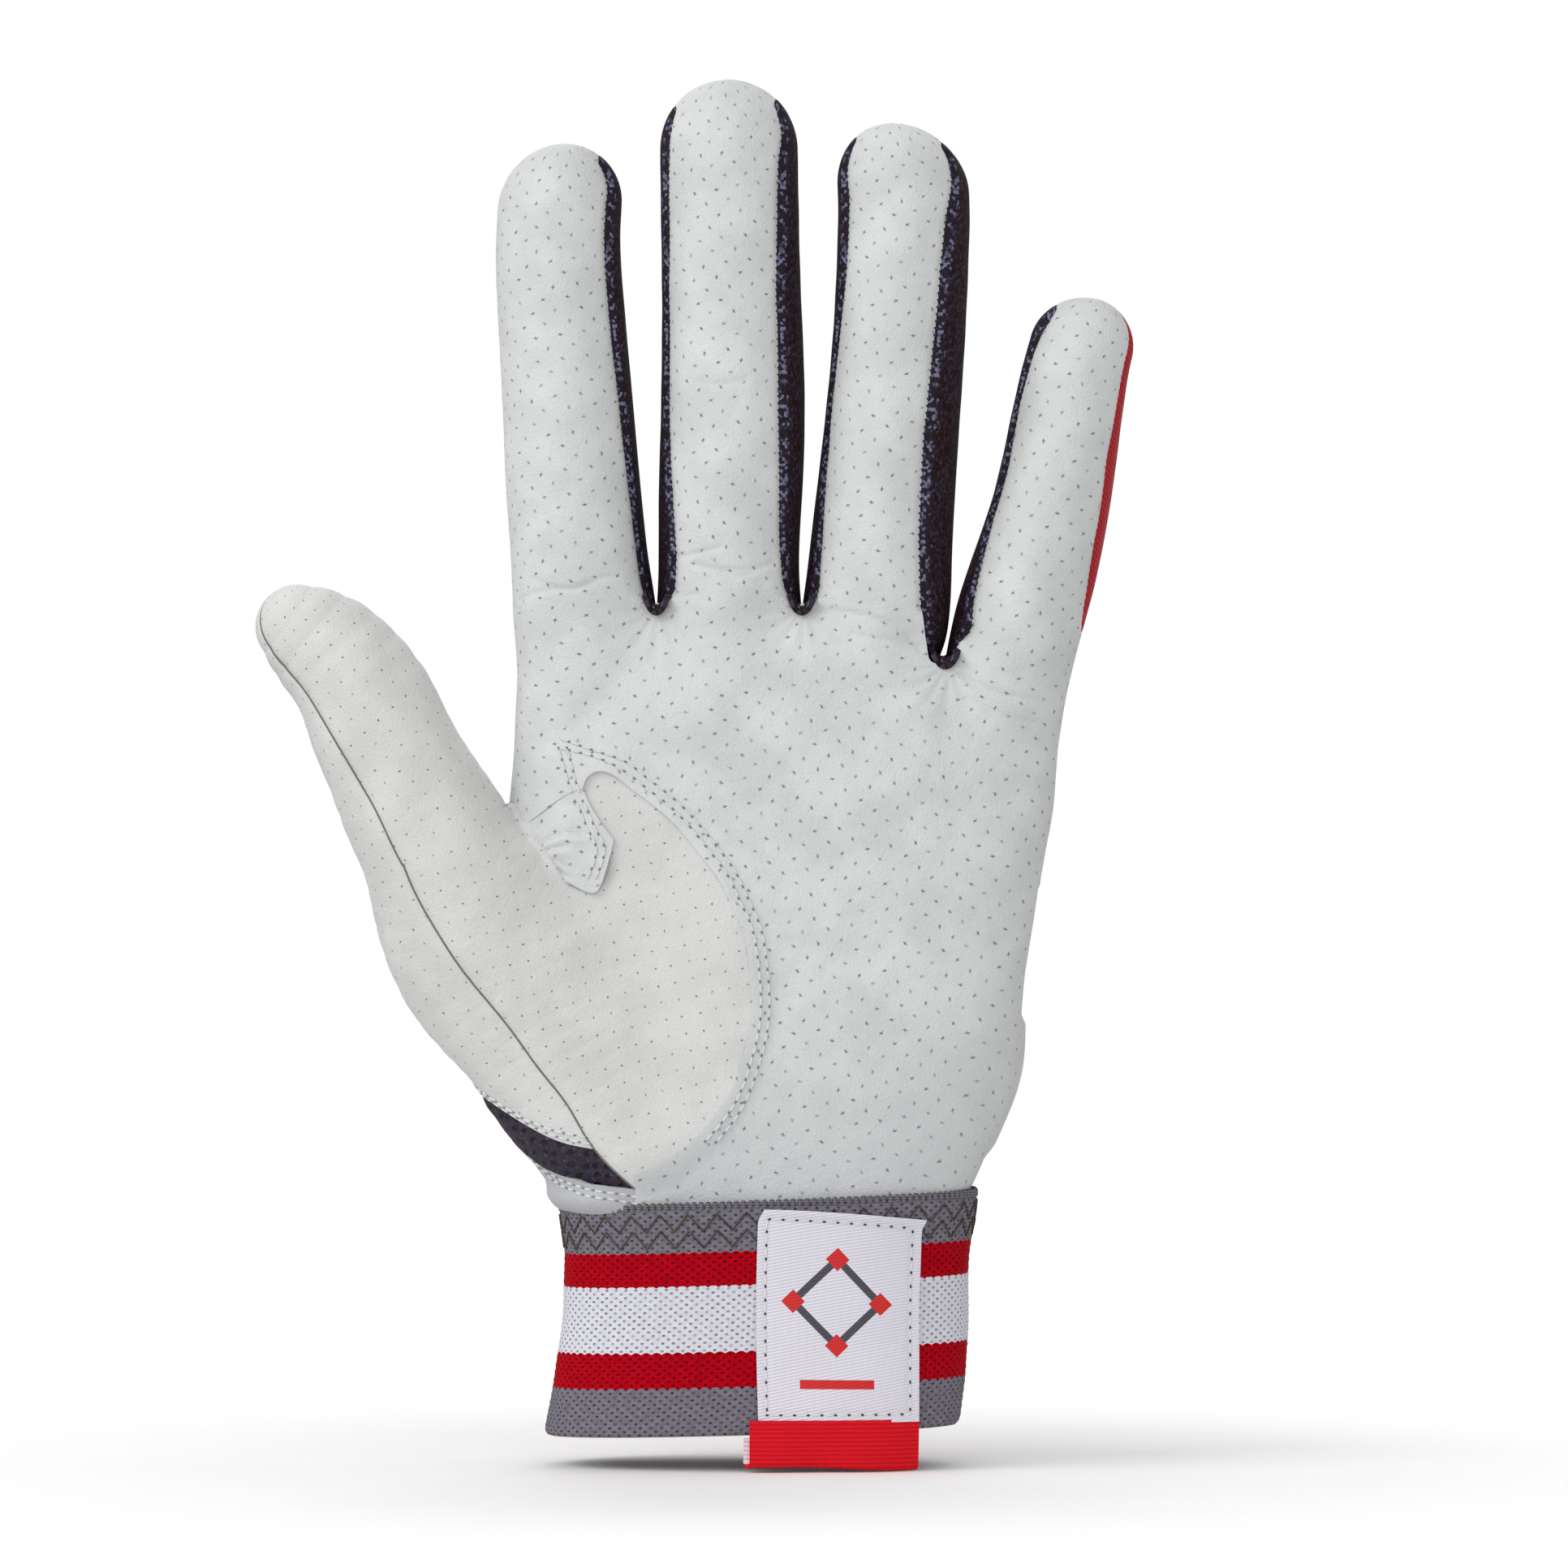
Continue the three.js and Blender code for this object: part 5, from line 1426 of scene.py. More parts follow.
def finger_grid(finger, s, first, last, columns, field, lift):
    """Grid of a finger panel between two seam angles, with a groove along seams that show in front.

    Gives the places, the same places laid flat, and the distances from both seams.
    """
    even = np.linspace(0, 1, columns)
    share = (1 - np.cos(math.pi * even)) / 4 + even / 2
    angle = first[:, None] + (last - first)[:, None] * share
    rows = np.broadcast_to(s[:, None], angle.shape)
    start, way = finger.rays(rows, angle)
    far = reach(start, way, field)
    hit = start + far[..., None] * way
    fall = np.zeros_like(far)
    from_seams = []
    for seam in (first, last):
        away = np.abs(angle - seam[:, None]) * far
        deep = SEAM_DIP * (0.25 + 0.75 * smooth(np.sin(seam) / 0.25)) * smooth((finger.length - s) / 4)
        fall += deep[:, None] * mound(away, SEAM_DIP_WIDTH)
        from_seams.append(away)
    points = hit + (lift(hit) - fall)[..., None] * way
    arc = (math.pi / 2 - angle) * finger.width(rows)
    flat = finger.base + rows[..., None] * finger.along + arc[..., None] * finger.side
    return points, flat, *from_seams


def own_field(finger):
    """Form of one finger with the palm below it, the palm cut away past the finger's sides."""

    def field(p):
        away = p - finger.base
        s = away @ finger.along
        across = np.abs(away @ finger.side - finger.shift(s))
        palm = palm_field(p) + 9 * smooth((across - finger.width(s) + 1.6) / 1.6)
        return join(palm, finger.field(p), ROOT_FILLET)

    return field


def bend_piece(made, finger, part):
    """Bakes a finger piece's transform. The bodies and the reach of its bend, at the knuckle for the base
    piece and at the middle joint for the end piece, are worked out but not used.
    """
    if part == "base":
        bodies, reaches = ("hand", finger.name + "_base"), (0, 14)
    else:
        bodies, reaches = (finger.name + "_base", finger.name + "_end"), (finger.bend - 8, finger.bend + 8)
    start, end = (tuple((finger.base + s * finger.along) * MM) for s in reaches)
    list(bodies)
    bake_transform(made)
    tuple(start)
    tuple(end)


def strip_rows(finger, side):
    """Places along a side strip, from below the knuckle to where its two seams meet near the tip."""
    end = getattr(finger, side)[0, -1] - 0.15
    low = STRIP_LOW[side][finger.name]
    return np.concatenate([np.arange(low, PANEL_LOW, SEAM_PITCH / 3), finger_rows(finger, end)])


def add_finger(finger, leather_thickness):
    """All panels of a finger, each cut at the same height into a base piece and an end piece."""
    s = finger_rows(finger, finger.length - 0.002)
    right, left = finger.front_seams(s, bites=True)
    back_right, back_left = finger.back_seams(s)
    whole = own_field(finger)
    panels = {
        "front": (s, right, left, 46, whole, finger_lift, leather_thickness),
        "back": (s, back_left, back_right + 2 * math.pi, 30, whole, knit_lift, KNIT_THICKNESS),
    }
    if finger.name in STRIP_LOW["right"]:
        s = strip_rows(finger, "right")
        edges = finger.back_seams(s)[0], finger.front_seams(s, bites=True)[0]
        panels["little_side"] = (s, *edges, 18, finger.field, knit_lift, KNIT_THICKNESS)
    if finger.name in STRIP_LOW["left"]:
        s = strip_rows(finger, "left")
        edges = finger.front_seams(s, bites=True)[1], finger.back_seams(s)[1]
        panels["thumb_side"] = (s, *edges, 18, finger.field, knit_lift, KNIT_THICKNESS)
    for panel, (rows, first, last, columns, field, lift, thickness) in panels.items():
        points, flat, from_first, from_last = finger_grid(finger, rows, first, last, columns, field, lift)
        normals = -grid_normals(points)
        across, along = (flat - finger.base) @ finger.side, (flat - finger.base) @ finger.along
        strip = panel.endswith("side")
        if panel == "front":
            uv = lattice(flat[..., 0], flat[..., 2], PALM_HOLE_TURN)
            finishes, slot = ["leather"], "white_leather"
        elif panel == "back":
            uv, finishes, slot = np.stack([across, along], -1), ["red"], "red_knit"
        else:
            beside = from_last if panel == "little_side" else from_first
            uv, finishes, slot = np.stack([beside, along], -1), ["side", "seam_thread"], "side_knit"
        knuckle = 0 if strip else np.argmin(np.abs(rows))
        split = np.argmin(np.abs(rows - finger.split))
        for part, low, high in (("base", knuckle, split + 1), ("end", split, len(rows))):
            cut = slice(low, high)
            quads = grid_quads(high - low, columns)[:, ::-1]
            parts = [thicken(points[cut], normals[cut], quads, thickness, uv[cut])]
            if strip:
                parts.append(seam_beads(finger, panel, rows[cut], field))
            node = f"{finger.name}_{part}_{panel}"
            made = add_piece(node + "_panel", parts, finishes, slot, node)
            bend_piece(made, finger, part)


def seam_beads(finger, panel, rows, field):
    """Stitch loops showing in the front seam beside a side strip."""
    s = np.arange(rows[0] + 0.5 * SEAM_PITCH, rows[-1] - 0.4, SEAM_PITCH)
    right, left = finger.front_seams(s)
    start, way = finger.rays(s, right if panel == "little_side" else left)
    points = meet(start, way, field, 0.08 - SEAM_DIP)
    ways = np.cross(way, finger.along) + 0.8 * finger.along
    return dashes(points, ways, way, *SEAM_BEAD, 1)


def web_piece(left, right, x, z):
    """Saddle of side knit that rounds the bottom of the gap between two fingers.

    A trough along y: its height grows with the square of the distance from its middle line, and both ends
    bend down.
    """
    half, deep = WEB_HALF_SIZE
    across, y = np.meshgrid(np.linspace(-half, half, 17), np.linspace(-deep, deep, 41))
    lean = (left.along[0] + right.along[0]) / 2
    height = z + 0.5 * across**2 - 1.5 * smooth((np.abs(y) - 7) / 4) - 0.1 * np.abs(y) / 10
    sideways = across * (1 - 0.25 * smooth((np.abs(y) - 6) / 5)) + lean * across
    points = np.stack([x + sideways, y, height], -1)
    part, _ = grid_sheet(points, (0, 0, 1), KNIT_THICKNESS, np.stack([1.2 + np.abs(y + 9), across], -1))
    name = f"finger_web_{left.name}_{right.name}"
    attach(add_piece(name + "_panel", [part], ["side"], "side_knit", name), "hand")


def thumb_axes():
    """Base point and direction of the thumb, from its hinge."""
    place, axis = hinge("thumb_knuckle")
    return np.array([place[0], 0, place[2]]), np.array([-axis[2], 0, axis[0]])


def thumb_rays(t, angle):
    """Rays out of the thumb's middle line, fanned over its tip.

    Below the hinge the line follows the outer seam.
    """
    base, along = thumb_axes()
    line = side_line(eased_line(OUTER_SEAM, 1.0), THUMB_SEAM_OFFSET_LOW)
    lengths, ways = lengths_along(line), -unit(np.gradient(line, axis=0))
    under = np.maximum(-t, 0)
    ease = smooth(under / 10)[..., None]
    down, local = (along_line(under, lengths, np.insert(values, 1, 0, axis=1)) for values in (line, ways))
    local = unit(local * ease + along * (1 - ease))
    across = np.stack([local[..., 2], np.zeros_like(t), -local[..., 0]], -1)
    top = np.array([line[0, 0], 0, line[0, 1]])
    straight = base + np.clip(t, 0, THUMB_TIP_CENTRE)[..., None] * along
    middle = np.where((t < 0)[..., None], down + (base - top) * (1 - ease), straight)
    tilt = np.clip((t - THUMB_TIP_CENTRE) / THUMB_TIP_REACH, 0, math.pi / 2 - 0.012)[..., None]
    way = np.cos(tilt) * to_palm(across, angle) + np.sin(tilt) * local
    return middle + np.array([0, THUMB_DEPTH, 0]), way


def thumb_seam_angle(t):
    """Ray angle at which the thumb's outer seam lies the wanted offset outside its middle line."""
    offset = THUMB_SEAM_OFFSET_LOW + (THUMB_SEAM_OFFSET - THUMB_SEAM_OFFSET_LOW) * smooth(t / 12)
    angle = np.full_like(t, math.radians(120))
    for _ in range(6):
        start, way = thumb_rays(t, angle)
        far = reach(start, way, thumb_side_field)
        angle = np.arccos(np.clip(-offset / np.maximum(far, 6), -0.95, 0.95))
    return angle + smooth((t - 30) / 18) * math.radians(24)


def strip_far_side(t):
    """Ray angle, found by halving, at which the strip outside the thumb's seam meets its edge on the back.

    Near the hinge the edge is held round at the web, and the whole is evened out over 15 rows.
    """
    low, high = np.full_like(t, math.radians(200)), np.full_like(t, math.radians(325))
    heights, edge = np.array(STRIP_BACK_EDGE).T
    for _ in range(12):
        middle = (low + high) / 2
        start, way = thumb_rays(t, middle)
        hit = meet(start, way, strip_field)
        past = hit[..., 0] > np.interp(hit[..., 2], heights, edge)
        low, high = np.where(past, low, middle), np.where(past, middle, high)
    edge = np.maximum(low, np.radians(np.interp(t, (-14, -6), (200, 362))))
    return np.convolve(np.pad(edge, 7, mode="edge"), np.full(15, 1 / 15), "valid")


def thumb_grid(t, right, left, columns, field, dips):
    """Grid of a thumb panel between two ray angles, with a groove along the dips, and its map places."""
    angle = right[:, None] + (left - right)[:, None] * np.linspace(0, 1, columns)
    rows = np.broadcast_to(t[:, None], angle.shape)
    start, way = thumb_rays(rows, angle)
    far = reach(start, way, field)
    hit = start + far[..., None] * way
    lift = 0.1 * wave(hit[..., 0], hit[..., 2], 11, 5)
    for seam in dips:
        lift = lift - 0.35 * mound(np.abs(angle - seam[:, None]) * far, 0.7)
    arc = (math.pi / 2 - angle) * THUMB_MAP_RADIUS
    return hit + lift[..., None] * way, lattice(arc - THUMB_MAP_SHIFT, rows, THUMB_HOLE_TURN)


def fold_lip(places):
    """Lip where the thumb panel folds over the tongue: raised on the thumb's side, falling away beyond it."""
    away, nearest = to_line(places, FOLD_LINE)
    past = np.where(places[..., 0] + places[..., 1] > nearest[..., 0] + nearest[..., 1], away, -away)
    ends = smooth((99.2 - places[..., 1]) / 3.0) * smooth((places[..., 1] - 87.2) / 4.0)
    lip = FOLD_HEIGHT * np.where(past < 0, mound(away, 2.4), 1 - 2.2 * smooth(past / 1.2))
    return ends * np.where(past < 3, lip, -1.2 * FOLD_HEIGHT) * (away < 12) * (1 - smooth((away - 5) / 5))


def thumb_lift(hit):
    """Slight unevenness of the thumb panel, a groove at its outer seam and the fold beside the tongue."""
    places = hit[..., [0, 2]]
    away, _ = to_line(places, OUTER_SEAM_LINE)
    return 0.1 * wave(hit[..., 0], hit[..., 2], 11, 5) - 0.35 * mound(away, 0.7) + fold_lip(places)


def tongue_lift(hit):
    """Height of the tongue: pleats, its top tucked under the palm, its left edge under the thumb's fold."""
    places = hit[..., [0, 2]]
    x, z = hit[..., 0], hit[..., 2]
    top = eased_line(TONGUE_TOP, 0.4)
    away, _ = to_line(places, np.array(TONGUE_LEFT))
    below, _ = to_line(places, top)
    tucked = 0.35 * smooth((z - np.interp(x, top[:, 0], top[:, 1]) + 0.2) / 0.8)
    base = np.maximum(leather_lift(hit) + crease_depth(x, z), 0.8 * smooth(below / 5))
    return base - pleat_depth(x, z) - tucked - 1.6 * (1 - smooth(away / 1.8)) * smooth((z - 88.6) / 2.5)


class GloveSettings(bpy.types.PropertyGroup):
    """Sizes and the floor's colour, which a user may change before building."""

    grid_step: bpy.props.FloatProperty(
        name="Grid step", description="Spacing of the grid of the palm panels", default=0.5 * MM,
        min=0.3 * MM, max=3 * MM, subtype="DISTANCE", unit="LENGTH", precision=5,
    )
    leather_thickness: bpy.props.FloatProperty(
        name="Leather thickness", description="Thickness of the leather panels",
        default=LEATHER_THICKNESS * MM, min=0.3 * MM, max=1.2 * MM, subtype="DISTANCE", unit="LENGTH",
        precision=5,
    )
    stitch_pitch: bpy.props.FloatProperty(
        name="Stitch pitch", description="Distance between stitches of the top-stitched rows",
        default=STITCH_PITCH * MM, min=1 * MM, max=5 * MM, subtype="DISTANCE", unit="LENGTH", precision=5,
    )
    floor_colour: bpy.props.FloatVectorProperty(
        name="Floor colour", description="Colour of the studio floor", default=(0.97, 0.97, 0.97), min=0,
        max=1, size=3, subtype="COLOR",
    )


class GLOVE_OT_palm(bpy.types.Operator):
    """Adds the palm leather with its raised cut edge, the thumb panel below it and the tongue between them"""

    bl_idname = "glove.palm"
    bl_label = "Palm panels"

    def execute(self, context):
        settings = context.scene.glove
        step, thickness, pitch = (
            value / MM for value in (settings.grid_step, settings.leather_thickness, settings.stitch_pitch)
        )
        self.palm(step, thickness, pitch)
        self.thumb_panel(step, thickness)
        self.tongue(step * 0.7, thickness, pitch)
        return {"FINISHED"}

    def palm(self, step, thickness, pitch):
        """Palm leather, with two stitched rows along its thumb edge and two more down from their corner."""
        parts = [skin_panel(palm_outline(), step, -1, front_field, leather_lift, thickness, PALM_HOLE_TURN)]
        surface = on_skin(front_field, leather_lift)
        edge = eased_line(THENAR_EDGE, 0.5)
        for offset, corner in EDGE_ROWS:
            row = side_line(edge, offset)
            row = row[row[:, 1] > EDGE_ROWS_LOW]
            row = row[: np.argmax(row[:, 1]) + 1]
            parts += stitch_row(eased_line(np.concatenate([row[::6], [corner]]), 0.5), surface, pitch)
        for offset in (0.0, ROW_GAP):
            parts += stitch_row(np.array(CORNER_ROW) + (offset, 0), surface, pitch)
        finishes = ["leather", "thread", "needle"]
        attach(add_piece("palm_leather", parts, finishes, "white_leather", "palm_panel"), "hand")

    def thumb_panel(self, step, thickness):
        """Thumb panel, which runs on under the palm's edge, with the thread of its outer seam."""
        seam = eased_line(OUTER_SEAM, 0.5)
        outline = np.concatenate([
            seam[::-1], THUMB_PANEL_TOP, eased_line(THUMB_PANEL_UNDER, 0.5), OUTER_SEAM[-1:],
        ])
        form = (thumb_side_field, thumb_lift)
        panel = skin_panel(outline, step, -1, *form, thickness, THUMB_HOLE_TURN, THUMB_DEPTH)
        path, out = on_skin(*form, THUMB_DEPTH)(seam, 0.35 - SEAM_THREAD_SINK)
        parts = [panel, tube(path, out, SEAM_THREAD_RADIUS, 1)]
        finishes = ["thumb", "thumb_thread"]
        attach(add_piece("thumb_panel", parts, finishes, "white_leather", "thenar_panel"), "hand")

    def tongue(self, step, thickness, pitch):
        """Pleated tongue in the thumb's crotch, with two stitched rows."""
        under_top = side_line(eased_line(TONGUE_TOP, 0.4), 1.4)
        outline = np.concatenate([
            under_top, eased_line(LOBE_LEFT, 0.4), eased_line(TONGUE_EDGE, 0.4), TONGUE_LEFT, under_top[:1],
        ])
        form = (thumb_side_field, tongue_lift)
        parts = [skin_panel(outline, step, -1, *form, thickness, PALM_HOLE_TURN, THUMB_DEPTH)]
        for offset in (0.0, ROW_GAP):
            line = eased_line(np.array(TONGUE_ROW) + (offset, 0), 0.5)
            parts += stitch_row(line, on_skin(*form, THUMB_DEPTH), pitch)
        finishes = ["leather", "thread", "needle"]
        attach(add_piece("thumb_tongue", parts, finishes, "white_leather", "thumb_web_gusset"), "hand")


class GLOVE_OT_fingers(bpy.types.Operator):
    """Adds the front, back and side panels of the four fingers and the saddles between them"""

    bl_idname = "glove.fingers"
    bl_label = "Fingers"

    def execute(self, context):
        fingers = list(HAND.values())
        for finger in fingers:
            add_finger(finger, context.scene.glove.leather_thickness / MM)
        for first, second, (x, z) in zip(fingers[:-1], fingers[1:], WEB_BOTTOMS):
            web_piece(first, second, x, z)
        return {"FINISHED"}


class GLOVE_OT_thumb(bpy.types.Operator):
    """Adds the thumb's front and back panels, the strip outside its seam and the seam's thread"""

    bl_idname = "glove.thumb"
    bl_label = "Thumb"

    def execute(self, context):
        thickness = context.scene.glove.leather_thickness / MM
        base, along = thumb_axes()
        tip = THUMB_TIP_CENTRE + THUMB_TIP_REACH * (math.pi / 2 - 0.013)
        t = np.concatenate([np.arange(0, THUMB_TIP_CENTRE, 0.5), np.linspace(THUMB_TIP_CENTRE, tip, 40)])
        seam = thumb_seam_angle(t)
        web = np.full_like(t, THUMB_WEB_ANGLE)
        start, end = (tuple((base + s * along) * MM) for s in (0, 12))
        rays, way = thumb_rays(t, seam)
        thread = tube(meet(rays, way, thumb_field, -SEAM_THREAD_SINK), way, SEAM_THREAD_RADIUS, 1)
        for name, right, left, columns, threads, finishes in (
            ("thumb_front", web, seam, 70, [thread], ["thumb", "thumb_thread"]),
            ("thumb_back", seam, web + 2 * math.pi, 60, [], ["thumb"]),
        ):
            points, uv = thumb_grid(t, right, left, columns, thumb_field, (right, left))
            quads = grid_quads(len(t), columns)[:, ::-1]
            parts = [thicken(points, -grid_normals(points), quads, thickness, uv), *threads]
            made = add_piece(name + "_panel", parts, finishes, "white_leather", name)
            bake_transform(made)
            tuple(start)
            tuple(end)
        self.base_strip(thickness)
        return {"FINISHED"}

    def base_strip(self, thickness):
        """Leather outside the outer seam below the hinge, round the edge of the hand to a seam on the back.

        Each column of a long grid is cut where it meets the lower edge, and its rows are spread up to there.
        """
        columns = 60
        t = np.linspace(0, -STRIP_LENGTH, 150)
        seam = thumb_seam_angle(t)
        points, uv = thumb_grid(t, seam, strip_far_side(t), columns, strip_field, (seam,))
        front = curve_through(MESH_TOP_FRONT)(points[..., 0])
        turned = smooth((points[..., 1] + 2) / 12)
        over = points[..., 2] - (front * (1 - turned) + (BACK_LOW - KNIT_UNDERLAP) * turned)
        last = np.where(over.min(axis=0) < 0, np.argmax(over < 0, axis=0), len(t) - 1)
        column = np.arange(columns)
        before = over[last - 1, column]
        share = before / np.maximum(before - over[last, column], 1e-9)
        rows = np.linspace(0, 1, 110)[:, None] * (last - 1 + np.clip(share, 0, 1))
        lower = np.floor(rows).astype(int).clip(0, len(t) - 2)
        part = (rows - lower)[..., None]
        points, uv = (
            grid[lower, column] * (1 - part) + grid[lower + 1, column] * part for grid in (points, uv)
        )
        sheet, normals = grid_sheet(points, (-1, 0, 0), thickness, uv)
        parts = [sheet]
        up = unit(points[-8] - points[-1])
        for depth in STRIP_ROW_DEPTHS:
            parts += stitch_path(points[-1] + depth * up, normals[-5], STITCH_PITCH, 0.1)
        finishes = ["thumb", "thread", "needle"]
        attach(add_piece("thumb_outer_strip", parts, finishes, "white_leather", "thumb_base_back"), "hand")


class GLOVE_OT_back(bpy.types.Operator):
    """Adds the knit back of the hand"""

    bl_idname = "glove.back"
    bl_label = "Back of the hand"

    def execute(self, context):
        top = knuckle_outline(True)
        low = BACK_LOW - KNIT_UNDERLAP
        rise = np.array(KNIT_SIDE_HEIGHTS)
        index_side = eased_line([*KNIT_CROTCH, *zip(index_edge(rise, BACK_WRAP), rise)], 0.8)
        thumb_edge = list(zip(KNIT_EDGE_X, (low, *KNIT_EDGE_HEIGHTS)))
        outline = np.concatenate([
            thumb_edge, index_side, top, side_edge(top[-1, 1], low, BACK_WRAP), thumb_edge[:1],
        ])
        panel = skin_panel(outline, 0.9, 1, thumb_back_field, back_lift, KNIT_THICKNESS, 0.0)
        panel["uv"] = panel["uv"] * HOLE_PITCH
        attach(add_piece("back_knit", [panel], ["red"], "red_knit", "back_panel"), "hand")
        return {"FINISHED"}


def wrist_edges():
    """Thumb-side edge of the wrist and hand by height, found on the form."""
    z = np.linspace(26, 72, 24)
    start = np.stack([np.full_like(z, -20), np.zeros_like(z), z], -1)
    way = np.tile([-1.0, 0, 0], (len(z), 1))
    return z, -20 - reach(start, way, thumb_side_field)


WRIST_EDGE = wrist_edges()


def wrist_left(z):
    """q of the edge of the flat front on the thumb side."""
    return np.interp(z, *WRIST_EDGE) + SIDE_ROUND


def wrist_rays(q, z):
    """Rays right round the wrist: q is x on the front and goes on round the sides and over the back."""
    left, right = wrist_left(z), palm_right(z) - SIDE_ROUND
    past = np.where(q < left, left - q, np.maximum(q - right, 0))
    out = np.where(q < left, -1.0, 1.0)
    near = np.where(q < left, left, right)
    turn = np.minimum(past / SIDE_ROUND, math.pi)
    rest = np.maximum(past - SIDE_ROUND * math.pi, 0)
    x = np.where(past > 0, near - out * rest, q)
    angle = np.where(past > 0, turn, 0)
    start = np.stack([x, np.zeros_like(x), z], -1)
    return start, np.stack([out * np.sin(angle), -np.cos(angle), np.zeros_like(x)], -1)


def back_q_left(x, z):
    """q, counted round the thumb side, of a place on the back."""
    return wrist_left(z) - SIDE_ROUND * math.pi - (x - wrist_left(z))


def back_q_right(x, z):
    """q, counted round the little-finger side, of a place on the back."""
    right = palm_right(z) - SIDE_ROUND
    return right + SIDE_ROUND * math.pi + (right - x)


def thumb_mesh_lift(share, q, z):
    """Height of the mesh beside the thumb: under the thumb panel's edge, and fuller towards the band."""
    return -0.6 + smooth((-26.5 - q) / 5) * (0.35 + 1.05 * smooth((1 - share) / 0.4))


def thumb_band_lift(share, q, z):
    """Height of the band beside the thumb: under the cuff, rolled outwards above it, flush by the palm."""
    rolled = 1.1 * smooth((z - 34) / 2.5) - 0.85 + 0.5 * mound(1 - share, 0.05) + 1.6 * mound(z - 37.5, 2.2)
    return -0.15 + smooth((-20 - q) / 7) * rolled


def little_mesh_lift(share, q, z):
    """Height of the mesh on the little-finger side: level, a little below the form."""
    return np.full(share.shape, -0.4)


def little_band_lift(share, q, z):
    """Height of the band on the little-finger side: under the cuff below, with a raised upper edge."""
    return -1.0 + 1.1 * smooth((z - 37) / 3) + 0.4 * mound(1 - share, 0.05)


def wrist_strip(low, high, rows, lift, thickness):
    """Strip round the wrist between a low and a high line of (q, z) places, both of the same count."""
    share = np.linspace(0, 1, rows)[:, None, None]
    places = low[None] * (1 - share) + high[None] * share
    q, z = places[..., 0], places[..., 1]
    start, way = wrist_rays(q, z)
    bulge = lift(np.broadcast_to(share[..., 0], q.shape), q, z)
    points = meet(start, way, thumb_side_field, bulge)
    sheet, normals = grid_sheet(points, way, thickness, places)
    return sheet, points, normals


class GLOVE_OT_wrist(bpy.types.Operator):
    """Adds the mesh strips and the leather bands round the wrist, on both sides of the slit"""

    bl_idname = "glove.wrist"
    bl_label = "Wrist mesh and bands"

    def execute(self, context):
        levels = (HEM, BAND_TOP, BACK_LOW)
        slit_left = [(float(back_q_left(-SLIT_HALF_WIDTH, z)), z) for z in levels]
        slit_right = [(float(back_q_right(SLIT_HALF_WIDTH, z)), z) for z in levels]
        lines = []
        for (front, turns), slit in zip(WRIST_LINES, slit_left):
            side = [(float(wrist_left(z) - SIDE_ROUND * math.radians(turn)), z) for z, turn in turns]
            lines.append([*front, *side, slit])
        hem, band_top, mesh_top = lines
        fronts = little_edge(np.array(levels, float), SIDE_WRAP)
        little = [[(q, z), slit] for q, z, slit in zip(fronts, levels, slit_right)]
        for name, low, high, rows, lift in (
            ("wrist_mesh_thumb_side", band_top, mesh_top, 30, thumb_mesh_lift),
            ("wrist_band_thumb_side", hem, band_top, 60, thumb_band_lift),
            ("wrist_mesh_little_side", little[1], little[2], 24, little_mesh_lift),
            ("wrist_band_little_side", little[0], little[1], 50, little_band_lift),
        ):
            if "mesh" in name:
                finishes, slot, thickness = ["mesh"], "dark_mesh", KNIT_THICKNESS
            else:
                finishes, slot, thickness = ["band", "thread", "needle"], "white_leather", LEATHER_THICKNESS
            edges = counted_line(low, WRIST_COLUMNS), counted_line(high, WRIST_COLUMNS)
            part, points, normals = wrist_strip(*edges, rows, lift, thickness)
            parts = [part]
            if "band" in name:
                tall = np.linalg.norm(np.diff(points, axis=0), axis=-1).sum(axis=0)
                column = np.arange(WRIST_COLUMNS)
                for depth in WRIST_ROW_DEPTHS:
                    row = np.round((1 - depth / tall) * (rows - 1)).astype(int)
                    parts += stitch_path(points[row, column], normals[row, column], STITCH_PITCH, 0.05, 0.28)
            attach(add_piece(name + "_panel", parts, finishes, slot, name), "hand")
        return {"FINISHED"}


cuff_left, cuff_right = curve_through(CUFF_LEFT), curve_through(CUFF_RIGHT)


def cuff_at(turn, share, over):
    """Places on the cuff, an oval of a power above 2, and their outward directions.

    turn goes round it, from 0 on the little-finger side by way of the palm side, and share goes up it.
    """
    across, forward = np.cos(turn), np.sin(turn)
    left, right = cuff_left(share * CUFF_HEIGHT), cuff_right(share * CUFF_HEIGHT)
    half = (right - left) / 2
    power = 2 / CUFF_POWER
    x = (left + right) / 2 + np.sign(across) * np.abs(across) ** power * half
    y = -np.sign(forward) * np.abs(forward) ** power * CUFF_HALF_DEPTH
    tilt = np.clip((x + 34) / 68, 0, 1)
    low = CUFF_BOTTOM[0] + (CUFF_BOTTOM[1] - CUFF_BOTTOM[0]) * tilt
    high = CUFF_TOP[0] + (CUFF_TOP[1] - CUFF_TOP[0]) * tilt
    z = low + (high - low) * share
    out_x = np.sign(across) * np.abs(across) ** (2 - power) / half
    out_y = -np.sign(forward) * np.abs(forward) ** (2 - power) / CUFF_HALF_DEPTH
    out = unit(np.stack([out_x, out_y, np.zeros_like(out_x)], -1))
    uneven = 0.18 * wave(turn * 25, z, 12, 8) - 0.25 * mound(share - 1, 0.06)
    return np.stack([x, y, z], -1) + (over + uneven)[..., None] * out, out


def cuff_turns(count):
    """Turns that are evenly spaced round the cuff's own girth, and that girth."""
    fine = np.linspace(0, 2 * math.pi, 4001)
    points, _ = cuff_at(fine, 0.5, 0)
    along = lengths_along(points)
    return np.interp(np.linspace(0, along[-1], count + 1)[:-1], along, fine), along[-1]


